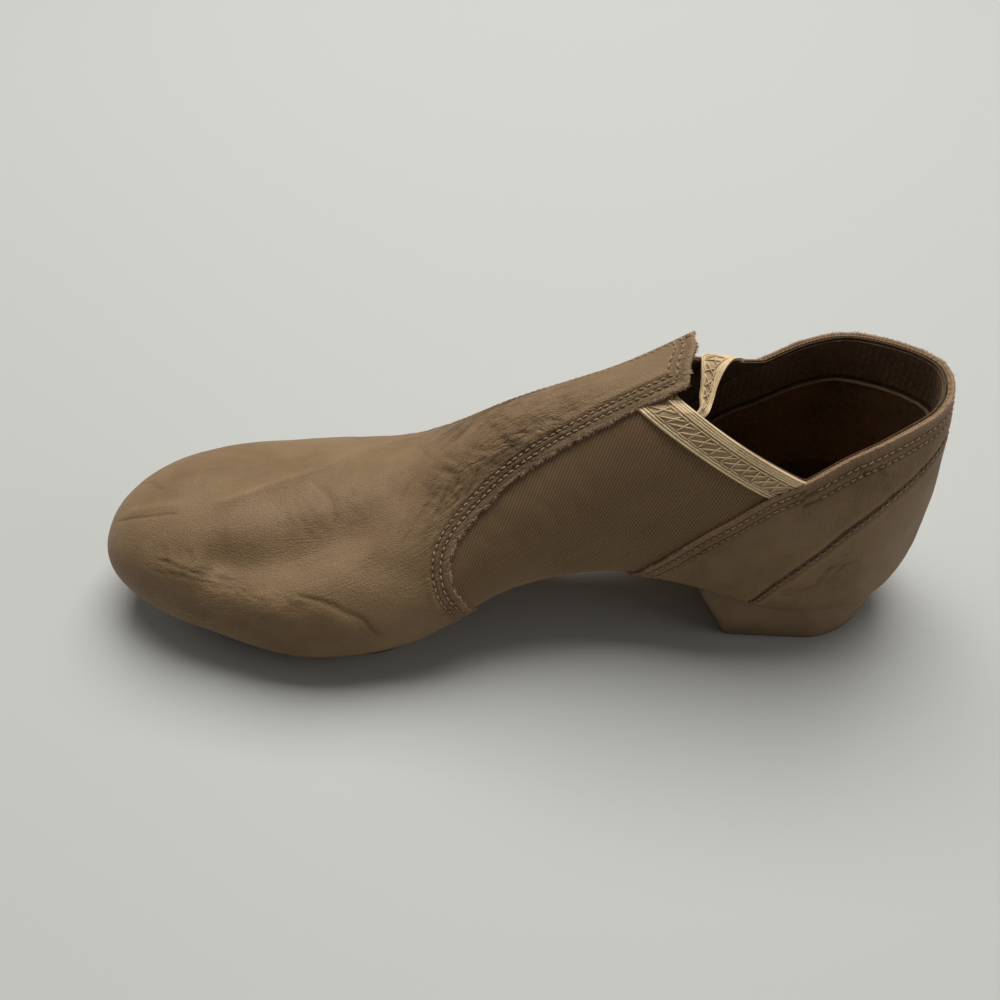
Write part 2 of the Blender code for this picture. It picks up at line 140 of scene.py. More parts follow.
# Sizes of the shoe, in metres, as the frame was built from them
LENGTH = 0.240
BALL_WIDTH = 0.080
WAIST_WIDTH = 0.051
HEEL_WIDTH = 0.056
TOE_HEIGHT = 0.037
INSTEP_HEIGHT = 0.0755
COLLAR_HEIGHT = 0.0735
HEEL_HEIGHT = 0.0083
ARCH_HEIGHT = 0.0190
TOE_SPRING = 0.0085
LEATHER = 0.0011
LINING = 0.0013
PATCH = 0.0019
GAP = 0.0003
BLOCK_WIDTH = 0.0505
BLOCK_FLARE = 0.0010
PATCH_SHARE = 0.80
ELASTIC_DROP = 0.0088
SOCK = LEATHER + GAP
INSIDE = SOCK + LINING

# Form of the shoe: half widths, where it is widest, how far the ridge leans to the far
# side, and how square the section is above and below its widest place
Section = namedtuple("Section", "share middle near far level crown lean upper lower")
SECTIONS = (
    Section(0.00, -0.010 * BALL_WIDTH, 0.39 * HEEL_WIDTH, 0.41 * HEEL_WIDTH,
            0.40 * COLLAR_HEIGHT, 1.28 * COLLAR_HEIGHT, 0.05 * BALL_WIDTH, 2.0, 3.0),
    Section(0.12, -0.010 * BALL_WIDTH, 0.49 * HEEL_WIDTH, 0.52 * HEEL_WIDTH,
            0.39 * COLLAR_HEIGHT, 1.30 * COLLAR_HEIGHT, 0.12 * BALL_WIDTH, 2.6, 6.5),
    Section(0.25, 0.000 * BALL_WIDTH, 0.53 * HEEL_WIDTH, 0.53 * HEEL_WIDTH,
            0.45 * COLLAR_HEIGHT, 1.19 * COLLAR_HEIGHT, 0.07 * BALL_WIDTH, 2.2, 4.5),
    Section(0.38, 0.000 * BALL_WIDTH, 0.50 * WAIST_WIDTH, 0.51 * WAIST_WIDTH,
            0.44 * INSTEP_HEIGHT, 1.005 * INSTEP_HEIGHT, 0.00 * BALL_WIDTH, 1.9, 3.5),
    Section(0.50, 0.000 * BALL_WIDTH, 0.57 * WAIST_WIDTH, 0.57 * WAIST_WIDTH,
            0.38 * INSTEP_HEIGHT, 0.835 * INSTEP_HEIGHT, 0.00 * BALL_WIDTH, 1.75, 3.0),
    Section(0.62, -0.010 * BALL_WIDTH, 0.470 * BALL_WIDTH, 0.465 * BALL_WIDTH,
            0.50 * TOE_HEIGHT, 1.20 * TOE_HEIGHT, 0.00 * BALL_WIDTH, 1.75, 3.0),
    Section(0.74, -0.010 * BALL_WIDTH, 0.505 * BALL_WIDTH, 0.497 * BALL_WIDTH,
            0.43 * TOE_HEIGHT, 1.025 * TOE_HEIGHT, 0.00 * BALL_WIDTH, 1.9, 3.4),
    Section(0.86, 0.000 * BALL_WIDTH, 0.430 * BALL_WIDTH, 0.434 * BALL_WIDTH,
            0.46 * TOE_HEIGHT, 0.995 * TOE_HEIGHT, 0.00 * BALL_WIDTH, 2.05, 3.0),
    Section(1.00, -0.006 * BALL_WIDTH, 0.352 * BALL_WIDTH, 0.358 * BALL_WIDTH,
            0.47 * TOE_HEIGHT, 0.92 * TOE_HEIGHT, 0.00 * BALL_WIDTH, 2.2, 2.6),
)
BALL = PATCH + GAP
Rise = namedtuple("Rise", "share height")
UNDERSIDE = (
    Rise(0.00, HEEL_HEIGHT),
    Rise(0.13, HEEL_HEIGHT),
    Rise(0.20, HEEL_HEIGHT + 0.14 * (ARCH_HEIGHT - HEEL_HEIGHT)),
    Rise(0.27, HEEL_HEIGHT + 0.70 * (ARCH_HEIGHT - HEEL_HEIGHT)),
    Rise(0.38, ARCH_HEIGHT),
    Rise(0.50, BALL + 0.80 * (ARCH_HEIGHT - BALL)),
    Rise(0.58, BALL + 0.34 * (ARCH_HEIGHT - BALL)),
    Rise(0.63, BALL + 0.07 * (ARCH_HEIGHT - BALL)),
    Rise(0.67, BALL),
    Rise(0.715, BALL),
    Rise(0.76, BALL),
    Rise(0.86, BALL + 0.40 * TOE_SPRING),
    Rise(1.00, BALL + TOE_SPRING),
)
End = namedtuple("End", "plan above below power")
HEEL_END = End(0.130, 0.055, 0.060, 2.0)
TOE_END = End(0.200, 0.105, 0.060, 2.25)

# Lines in the side view, from the heel back forward
Place = namedtuple("Place", "share height")
TOP_LINE = (
    Place(-0.10, 1.005 * COLLAR_HEIGHT),
    Place(0.02, 1.000 * COLLAR_HEIGHT),
    Place(0.05, 0.985 * COLLAR_HEIGHT),
    Place(0.10, 0.955 * COLLAR_HEIGHT),
    Place(0.15, 0.895 * COLLAR_HEIGHT),
    Place(0.193, 0.815 * COLLAR_HEIGHT),
    Place(0.233, 0.750 * COLLAR_HEIGHT),
    Place(0.263, 0.673 * COLLAR_HEIGHT),
    Place(0.296, 0.578 * COLLAR_HEIGHT),
    Place(0.329, 0.456 * COLLAR_HEIGHT),
    Place(0.357, 0.350 * COLLAR_HEIGHT),
    Place(0.382, 0.230 * COLLAR_HEIGHT),
    Place(0.407, 0.110 * COLLAR_HEIGHT),
)
COUNTER_SEAM = (
    Place(-0.10, 0.890 * COLLAR_HEIGHT),
    Place(0.000, 0.870 * COLLAR_HEIGHT),
    Place(0.025, 0.845 * COLLAR_HEIGHT),
    Place(0.063, 0.785 * COLLAR_HEIGHT),
    Place(0.102, 0.705 * COLLAR_HEIGHT),
    Place(0.133, 0.620 * COLLAR_HEIGHT),
    Place(0.162, 0.512 * COLLAR_HEIGHT),
    Place(0.193, 0.395 * COLLAR_HEIGHT),
    Place(0.218, 0.280 * COLLAR_HEIGHT),
    Place(0.238, 0.120 * COLLAR_HEIGHT),
    Place(0.262, -0.070 * COLLAR_HEIGHT),
)
CORNER_SHARE = 0.193      # quarter's top corner, where the elastic's edge starts
SLIT_SHARE = 0.335        # end of the elastic's edge under the vamp
SLIT_WRAP = 22.0
QUARTER_TIP = 0.379       # front of the quarter under the arch
SEAM_FOOT = 0.240         # where the counter's seam reaches the underside
THROAT_SHARE = 0.318      # throat's end at its near corner
THROAT_FAR_SHARE = 0.292  # and at its far corner, as it is cut askew

# Edge of the vamp down one side. wrap is the angle round the section in degrees:
# 0 on the ridge, 90 where it is widest, 180 underneath.
Seam = namedtuple("Seam", "share wrap")
VAMP_EDGE = (
    Seam(0.300, 21.0),
    Seam(0.324, 21.8),
    Seam(0.355, 23.6),
    Seam(0.388, 26.0),
    Seam(0.435, 30.6),
    Seam(0.483, 35.8),
    Seam(0.525, 41.6),
    Seam(0.563, 49.0),
    Seam(0.576, 58.5),
    Seam(0.572, 74.0),
    Seam(0.558, 93.0),
    Seam(0.546, 130.0),
    Seam(0.540, 180.0),
)


def along(share):
    """X of a place given as its share of the length from the heel back."""
    return LENGTH / 2 - share * LENGTH


def curve(rows, column, share):
    """Smooth curve through one column of a table, by its share column."""
    x = np.array([row.share for row in rows])
    y = np.array([getattr(row, column) for row in rows])
    return smooth_through(x, y, share)


def smooth_through(x, y, at):
    step = np.diff(x)
    rise = np.diff(y) / step
    slope = np.empty_like(y)
    slope[0] = rise[0]
    slope[-1] = rise[-1]
    slope[1:-1] = (rise[:-1] * step[1:] + rise[1:] * step[:-1]) / (step[:-1] + step[1:])
    at = np.clip(at, x[0], x[-1])
    k = np.clip(np.searchsorted(x, at, side="right") - 1, 0, len(x) - 2)
    t = (at - x[k]) / step[k]
    return (
        (2 * t**3 - 3 * t**2 + 1) * y[k]
        + (t**3 - 2 * t**2 + t) * step[k] * slope[k]
        + (3 * t**2 - 2 * t**3) * y[k + 1]
        + (t**3 - t**2) * step[k] * slope[k + 1]
    )


def rounded(share, reach, power):
    """Grows from 0 at the end to 1 at the reach, like the quarter of an ellipse."""
    away = np.clip(1 - share / reach, 0, 1)
    return (1 - away**power) ** (1 / power)


def section_at(share):
    """The section's sizes at each share, with the rounding of the ends in them."""
    plan = rounded(share, HEEL_END.plan, HEEL_END.power)
    plan = plan * rounded(1 - share, TOE_END.plan, TOE_END.power)
    above = rounded(share, HEEL_END.above, 2) * rounded(1 - share, TOE_END.above, 2)
    below = rounded(share, HEEL_END.below, 2) * rounded(1 - share, TOE_END.below, 2)
    sizes = {name: curve(SECTIONS, name, share) for name in Section._fields[1:]}
    sizes["near"] = sizes["near"] * plan
    sizes["far"] = sizes["far"] * plan
    sizes["top"] = (sizes["crown"] - sizes["level"]) * above
    sizes["bottom"] = (sizes["level"] - curve(UNDERSIDE, "height", share)) * below
    return sizes


def skin(share, wrap):
    """Points on the outside of the leather, for arrays of shares and wrap angles."""
    share, wrap = np.broadcast_arrays(np.asarray(share, float), np.asarray(wrap, float))
    turn = np.radians(wrap)
    size = section_at(share)
    over = np.cos(turn) > 0
    power = 2 / np.where(over, size["upper"], size["lower"])
    side = np.where(np.sin(turn) > 0, size["near"], size["far"])
    rise = np.sign(np.cos(turn)) * np.abs(np.cos(turn)) ** power
    y = size["middle"] + size["lean"] * rise**2 * over
    y = y - side * np.sign(np.sin(turn)) * np.abs(np.sin(turn)) ** power
    z = size["level"] + np.where(over, size["top"], size["bottom"]) * rise
    return np.stack([along(share), y, z], -1)


def fullness(points):
    """Negative inside the form, 0 on its skin and positive outside."""
    share = 0.5 - points[..., 0] / LENGTH
    size = section_at(np.clip(share, 0.0, 1.0))
    over = points[..., 2] > size["level"]
    tall = np.where(over, size["top"], size["bottom"])
    rise = np.abs(points[..., 2] - size["level"]) / np.maximum(tall, 1e-7)
    rise = np.minimum(rise, 20.0)
    centre = size["middle"] + size["lean"] * rise**2 * over
    side = np.where(points[..., 1] < centre, size["near"], size["far"])
    out = np.minimum(np.abs(points[..., 1] - centre) / np.maximum(side, 1e-7), 20.0)
    power = np.where(over, size["upper"], size["lower"])
    return out**power + rise**power - 1


def outward(points):
    """Unit normals of the form at points on its skin."""
    step = 0.2 * MM
    slopes = []
    for axis in range(3):
        move = np.zeros(3)
        move[axis] = step
        slopes.append(fullness(points + move) - fullness(points - move))
    normal = np.stack(slopes, -1)
    return normal / np.maximum(np.linalg.norm(normal, axis=-1, keepdims=True), 1e-9)


def hit(origin, direction):
    """Where rays from inside the form leave it."""
    low = np.zeros(direction.shape[:-1])
    high = np.full(direction.shape[:-1], 0.11)
    for _ in range(30):
        middle = 0.5 * (low + high)
        inside = fullness(origin + direction * middle[..., None]) < 0
        low = np.where(inside, middle, low)
        high = np.where(inside, high, middle)
    return origin + direction * low[..., None]


def slit_height(share):
    """Height of the elastic's top edge between the quarter's corner and the vamp."""
    low = curve(TOP_LINE, "height", CORNER_SHARE)
    high = skin(SLIT_SHARE, SLIT_WRAP)[2]
    return low + (high - low) * (share - CORNER_SHARE) / (SLIT_SHARE - CORNER_SHARE)


AXIS_SHARE = 0.155        # upright axis inside the heel that its ribs fan out from


def fan_ribs(front, count, fan_count):
    """Origins and level directions of ribs: near side, round the heel, far side."""
    near_shares = np.linspace(front, AXIS_SHARE, count, endpoint=False)
    turns = np.radians(np.linspace(-90, 90, 2 * fan_count + 1))
    shares = np.concatenate([near_shares, np.full(len(turns), AXIS_SHARE), near_shares[::-1]])
    directions = np.concatenate([
        np.tile((0.0, -1.0), (count, 1)),
        np.stack([np.cos(turns), np.sin(turns)], -1),
        np.tile((0.0, 1.0), (count, 1)),
    ])
    size = section_at(shares)
    origins = np.stack([along(shares), size["middle"], size["level"]], -1)
    return origins, directions


def rib_points(origins, directions, angles):
    """Points on the skin at elevation angles (ribs x places) along each rib."""
    cos, sin = np.cos(angles), np.sin(angles)
    ray = np.stack([directions[:, 0:1] * cos, directions[:, 1:2] * cos, sin], -1)
    return hit(origins[:, None, :], ray)


def rib_angle(origins, directions, line, lift=0.0):
    """Elevation at which each rib crosses a side-view line, or underneath if it never does."""
    low = np.full(len(origins), math.radians(-90))
    high = np.full(len(origins), math.radians(88))
    for _ in range(22):
        middle = 0.5 * (low + high)
        point = rib_points(origins, directions, middle[:, None])[:, 0]
        under = point[:, 2] < line(0.5 - point[:, 0] / LENGTH) + lift
        low = np.where(under, middle, low)
        high = np.where(under, high, middle)
    return low


def top_line(share):
    return curve(TOP_LINE, "height", share)


def counter_line(share):
    return curve(COUNTER_SEAM, "height", share)


def sock_line(share):
    """Top of the stretch upper: the collar's rim, then the elastic's top edge."""
    slit = np.where(share > SLIT_SHARE, 2 * COLLAR_HEIGHT, slit_height(share))
    return np.where(share < CORNER_SHARE, top_line(share), slit)


FAR_SAG = 6.5 * MM
LARGEST_DROP = math.radians(3.2)


def slack_line(share):
    """The same on the far side, where the upper sags with its slack elastic."""
    part = np.clip((share - CORNER_SHARE) / (SLIT_SHARE - CORNER_SHARE), 0, 1)
    sag = np.where(share > SLIT_SHARE + 0.012, 0.0, FAR_SAG * np.sin(np.pi * part * 0.72))
    return sock_line(share) - sag


def between(low, high, count, gather=0.0):
    """Evenly spaced places from low to high, gathered towards high for a sharper edge."""
    t = np.linspace(0, 1, count)
    t = t + gather * np.sin(2 * np.pi * t) / (2 * np.pi)
    return low[:, None] + (high - low)[:, None] * t[None, :]


def eased(angles):
    """Angles whose drop from one rib to the next is limited, for an even low edge."""
    even = angles.copy()
    for rib in range(1, len(even)):
        even[rib] = max(even[rib], even[rib - 1] - LARGEST_DROP)
    return even


def rib_sheet(front, count, fan_count, low_line, high_line, places, far_line=None, low_floor=-90.0):
    """Grid of points on the skin between two side-view lines, the top one by side."""
    origins, directions = fan_ribs(front, count, fan_count)
    high = rib_angle(origins, directions, high_line)
    if far_line:
        high = np.where(directions[:, 1] > 0.5, rib_angle(origins, directions, far_line), high)
    low = rib_angle(origins, directions, low_line) if low_line else np.full_like(high, -9.0)
    low = np.maximum(low, math.radians(low_floor))
    if low_line:
        low = eased(eased(low[::-1])[::-1])
    return rib_points(origins, directions, between(low, np.maximum(high, low + 1e-4), places))


def plain_noise(points, scale, seed):
    """Soft noise at each point, about -1 to 1."""
    flat = points.reshape(-1, 3)
    shift = Vector((seed * 3.1, seed * 1.7, seed * 2.3))
    values = [noise.noise(Vector(p) / scale + shift) for p in flat]
    return np.array(values).reshape(points.shape[:-1])


def distance_to(path, points):
    """Distance of each point from a path given by close points."""
    tree = KDTree(len(path))
    for index, place in enumerate(path):
        tree.insert(place, index)
    tree.balance()
    flat = points.reshape(-1, 3)
    return np.array([tree.find(p)[2] for p in flat]).reshape(points.shape[:-1])


def resample(path, spacing):
    """Points at even steps along a path."""
    run = np.concatenate([[0], np.cumsum(np.linalg.norm(np.diff(path, axis=0), axis=1))])
    at = np.linspace(0, run[-1], max(2, int(round(run[-1] / spacing)) + 1))
    return np.stack([np.interp(at, run, path[:, axis]) for axis in range(3)], -1)


def deselect():
    if bpy.context.mode != "OBJECT":
        bpy.ops.object.mode_set(mode="OBJECT")
    bpy.ops.object.select_all(action="DESELECT")


def start_grid(name, rows, columns):
    """Flat grid primitive, whose points are then laid on the shoe."""
    deselect()
    bpy.ops.mesh.primitive_grid_add(x_subdivisions=columns - 1, y_subdivisions=rows - 1, size=1)
    piece = bpy.context.object
    piece.name = name
    piece.data.name = name
    return piece


def lay_grid(name, points, maps=None, values=None):
    """Grid primitive shaped to a table of points (rows x columns), with its own flat map."""
    rows, columns = points.shape[:2]
    piece = start_grid(name, rows, columns)
    piece.data.vertices.foreach_set("co", points.reshape(-1).astype(np.float32))
    if maps is not None:
        corners = np.empty(len(piece.data.loops), dtype=np.int64)
        piece.data.loops.foreach_get("vertex_index", corners)
        flat = np.asarray(maps, float).reshape(-1, 2)[corners]
        piece.data.uv_layers[0].data.foreach_set("uv", flat.reshape(-1).astype(np.float32))
    for label, table in (values or {}).items():
        layer = piece.data.attributes.new(label, "FLOAT", "POINT")
        layer.data.foreach_set("value", np.asarray(table, float).reshape(-1).astype(np.float32))
    piece.data.update()
    weld_and_face_out(piece)
    return piece


def weld_and_face_out(piece):
    deselect()
    piece.select_set(True)
    bpy.context.view_layer.objects.active = piece
    bpy.ops.object.mode_set(mode="EDIT")
    bpy.ops.mesh.select_all(action="SELECT")
    bpy.ops.mesh.remove_doubles(threshold=0.000004)
    bpy.ops.mesh.normals_make_consistent(inside=False)
    bpy.ops.object.mode_set(mode="OBJECT")


def shell_rows(outer, normals, thickness, edges, inner_steps, bulge=0.10 * MM):
    """Rows of a closed wall: outer skin, rounded raw edge, and a coarse inner side.

    outer runs from the raw edge at row 0 to its last row. Where edges is 2, its last
    row is a raw edge as well, and the wall is a ring through both.
    """
    def lip(edge, beside, normal):
        out = edge - beside
        out /= np.maximum(np.linalg.norm(out, axis=-1, keepdims=True), 1e-9)
        places = ((0.6, 0.10), (1.0, 0.35), (1.0, 0.65), (0.6, 0.90))
        return [edge + out * bulge * push - normal * thickness * deep for push, deep in places]

    last = len(outer) - 1
    steps = np.unique(np.round(last * np.linspace(0, 1, inner_steps) ** 1.5).astype(int))
    inner = [outer[i] - normals[i] * thickness for i in steps]
    rows = [outer[i] for i in range(last, -1, -1)]
    rows += lip(outer[0], outer[1], normals[0])
    rows += inner
    if edges == 2:
        rows += lip(outer[-1], outer[-2], normals[-1])[::-1]
        rows.append(outer[-1])
    return np.stack(rows)


def over_shell(table, total, rest):
    """Values of a closed wall's rows: those of its outside, and one for all the others."""
    whole = np.full((total,) + table.shape[1:], rest, float)
    whole[:len(table)] = table[::-1]
    return whole


# Creases of the worn leather, by share and wrap on the form. A positive lift is a
# ridge and a negative one a trough; reach is how far it spreads to each side.
Crease = namedtuple("Crease", "reach lift points")
CREASES = (
    Crease(1.2 * MM, 0.42 * MM, ((0.60, -34), (0.640, -30), (0.672, -25), (0.703, -18), (0.733, -10),
                                 (0.764, -5), (0.794, 1), (0.817, 6), (0.839, 10), (0.86, 12))),
    Crease(0.50 * MM, -0.24 * MM, ((0.893, 18), (0.903, 18), (0.929, 19), (0.957, 18), (0.985, 15))),
    Crease(1.6 * MM, 0.35 * MM, ((0.885, 12), (0.91, 12), (0.94, 12), (0.97, 10))),
    Crease(0.5 * MM, -0.25 * MM, ((0.955, -20), (0.942, -14), (0.930, -5), (0.920, 0))),
    Crease(3.4 * MM, 0.75 * MM, ((0.60, -34), (0.640, -30), (0.672, -25), (0.703, -18), (0.733, -10),
                                 (0.764, -5), (0.794, 1), (0.817, 6), (0.839, 10), (0.86, 12))),
    Crease(8.5 * MM, -3.7 * MM, ((0.640, 18), (0.691, 27), (0.737, 34), (0.782, 39), (0.816, 43),
                                 (0.845, 45), (0.868, 45))),
    Crease(4.4 * MM, 1.0 * MM, ((0.915, 52), (0.890, 54), (0.860, 55), (0.826, 59), (0.796, 62),
                                 (0.766, 65), (0.740, 68))),
    Crease(0.65 * MM, -0.36 * MM, ((0.750, 55), (0.735, 57), (0.720, 59), (0.705, 62), (0.692, 66),
                                  (0.673, 72), (0.663, 81), (0.645, 92))),
    Crease(1.8 * MM, 0.22 * MM, ((0.745, 62), (0.728, 64), (0.710, 67), (0.690, 73), (0.675, 82))),
    Crease(0.6 * MM, -0.22 * MM, ((0.742, -4), (0.735, 0), (0.727, 4), (0.714, 11), (0.710, 19),
                                 (0.716, 27))),
    Crease(1.6 * MM, 0.12 * MM, ((0.750, 0), (0.740, 5), (0.730, 12), (0.724, 20))),
    Crease(4.5 * MM, -0.45 * MM, ((0.690, 44), (0.660, 47), (0.630, 54), (0.610, 66))),
    Crease(0.6 * MM, -0.26 * MM, ((0.537, -27), (0.533, -12), (0.529, -1), (0.513, 17),
                                 (0.497, 27), (0.484, 33))),
    Crease(0.5 * MM, -0.20 * MM, ((0.617, -24), (0.602, -6), (0.587, 8), (0.569, 20), (0.558, 28))),
    Crease(0.5 * MM, -0.20 * MM, ((0.588, -3), (0.569, 12), (0.552, 21), (0.541, 29))),
    Crease(0.5 * MM, -0.22 * MM, ((0.520, -8), (0.510, 3), (0.498, 14), (0.484, 22), (0.470, 29))),
    Crease(0.5 * MM, -0.18 * MM, ((0.495, -8), (0.485, 10), (0.469, 22), (0.456, 29))),
    Crease(0.6 * MM, -0.22 * MM, ((0.452, -2), (0.440, 13), (0.428, 21))),
)

# Sets of short fine wrinkles: where they lie, how they run and how many there are
Wrinkles = namedtuple("Wrinkles", "share wrap spread_share spread_wrap run_share run_wrap count lift reach")
WRINKLES = (
    Wrinkles(0.545, 20, 0.055, 12, -0.016, 8, 60, -0.15 * MM, 0.40 * MM),
    Wrinkles(0.480, 18, 0.050, 8, -0.014, 7, 40, -0.14 * MM, 0.38 * MM),
    Wrinkles(0.590, 24, 0.040, 10, 0.016, 9, 26, -0.16 * MM, 0.50 * MM),
    Wrinkles(0.725, 15, 0.045, 9, -0.010, 7, 26, -0.13 * MM, 0.45 * MM),
    Wrinkles(0.850, 54, 0.060, 5, 0.014, -1, 40, -0.13 * MM, 0.42 * MM),
    Wrinkles(0.780, 60, 0.050, 5, 0.012, -3, 30, -0.12 * MM, 0.42 * MM),
    Wrinkles(0.900, 48, 0.030, 9, -0.004, 7, 14, -0.12 * MM, 0.42 * MM),
    Wrinkles(0.540, -20, 0.050, 12, -0.022, -10, 34, -0.17 * MM, 0.50 * MM),
    Wrinkles(0.790, -58, 0.080, 8, 0.020, 3, 26, -0.16 * MM, 0.50 * MM),
    Wrinkles(0.600, -50, 0.030, 12, 0.010, -12, 14, -0.16 * MM, 0.50 * MM),
)


def fine_path(points, steps=10):
    """Smooth path on the skin through a few shares and wraps."""
    table = np.array(points, float)
    at = np.linspace(0, len(table) - 1, (len(table) - 1) * steps + 1)
    index = np.arange(len(table), dtype=float)
    share = smooth_through(index, table[:, 0], at)
    wrap = smooth_through(index, table[:, 1], at)
    return skin(share, wrap)


def crease_lift(points, path, reach, lift):
    """Height of one crease at each point, fading out towards its ends."""
    low = path.min(axis=0) - 3.2 * reach
    high = path.max(axis=0) + 3.2 * reach
    near = np.all((points > low) & (points < high), axis=-1)
    lifts = np.zeros(points.shape[:-1])
    some = points[near]
    if len(some) == 0:
        return lifts
    best = np.full(len(some), 1e9)
    place = np.zeros(len(some))
    for k in range(len(path) - 1):
        start, run = path[k], path[k + 1] - path[k]
        t = np.clip(((some - start) @ run) / max(run @ run, 1e-12), 0, 1)
        gap = np.linalg.norm(some - start - t[:, None] * run, axis=1)
        closer = gap < best
        best = np.where(closer, gap, best)
        place = np.where(closer, (k + t) / (len(path) - 1), place)
    fade = np.clip(np.minimum(place, 1 - place) * 5, 0, 1)
    fade = fade * fade * (3 - 2 * fade)
    lifts[near] = lift * (0.15 + 0.85 * fade) * np.exp(-((best / reach) ** 2))
    return lifts


def wrinkle_paths(rows, seed):
    """Short wandering paths for every set of fine wrinkles."""
    draw = random.Random(seed)
    paths = []
    for row in rows:
        for _ in range(row.count):
            share = row.share + row.spread_share * draw.uniform(-1, 1)
            wrap = row.wrap + row.spread_wrap * draw.uniform(-1, 1)
            stretch = draw.uniform(0.35, 1.0)
            bend = draw.uniform(-0.5, 0.5)
            points = []
            for t in (-1, -0.5, 0, 0.5, 1):
                sway = bend * (1 - t * t)
                points.append((
                    share + stretch * (t * row.run_share + sway * 0.010),
                    wrap + stretch * (t * row.run_wrap + sway * 4),
                ))
            depth = row.lift * draw.uniform(0.5, 1.2)
            paths.append((fine_path(points, 3), row.reach * draw.uniform(0.8, 1.4), depth))
    return paths


def vamp_relief(points):
    """Heights of the vamp's folds along its normal: the broad ones and the sharp ones."""
    broad = 0.16 * MM * plain_noise(points, 11 * MM, 1)
    sharp = 0.05 * MM * plain_noise(points, 3.5 * MM, 2)
    for crease in CREASES:
        lift = crease_lift(points, fine_path(crease.points), crease.reach, crease.lift)
        if crease.reach > 2 * MM:
            broad += lift
        else:
            sharp += lift
    for path, reach, depth in wrinkle_paths(WRINKLES, 4):
        sharp += crease_lift(points, path, reach, depth)
    return broad, sharp


def stitch_bed(gap, rows, depth=0.34 * MM, reach=0.55 * MM):
    """Grooves that rows of stitches pull into the leather, by distance from its edge."""
    lift = np.zeros_like(gap)
    for row in rows:
        lift -= depth * np.exp(-(((gap - row) / reach) ** 2))
    inner = rows[-1]
    lift += 0.22 * MM * np.exp(-(((gap - inner - 1.3 * MM) / (1.0 * MM)) ** 2))
    return lift


VAMP_ROWS = (2.3 * MM, 4.5 * MM)
RIM_ROWS = (3.0 * MM, 5.6 * MM)
FRONT_ROWS = (1.7 * MM, 3.9 * MM)
SEAM_ROW = 1.3 * MM


def vamp_edge_path():
    """Shares and wraps along the vamp's raw edge: up the near side, over, down the far side."""
    table = np.array(VAMP_EDGE, float)
    index = np.arange(len(table), dtype=float)
    at = np.linspace(0, len(table) - 1, 500)
    share = smooth_through(index, table[:, 0], at)
    wrap = smooth_through(index, table[:, 1], at)
    sides = []
    for end in (THROAT_SHARE, THROAT_FAR_SHARE):
        behind = share > end
        sides.append(np.stack([share[behind], wrap[behind]], -1)[::-1])
    near, far = sides
    t = np.linspace(0, 1, 60)[:, None]
    throat = near[-1] * (1 - t) + far[-1] * (1, -1) * t
    throat[:, 0] += 0.0025 * np.sin(9 * t[:, 0]) * np.sin(np.pi * t[:, 0])
    return near, throat, far[::-1] * (1, -1)


def even_places(places, count):
    """Shares and wraps at even steps of length along a line on the skin."""
    points = skin(places[:, 0], places[:, 1])
    run = np.concatenate([[0], np.cumsum(np.linalg.norm(np.diff(points, axis=0), axis=1))])
    at = np.linspace(0, run[-1], count)
    return np.stack([np.interp(at, run, places[:, k]) for k in range(2)], -1)


VAMP_SIDE = 176
VAMP_THROAT = 44
VAMP_ROWS_COUNT = 220


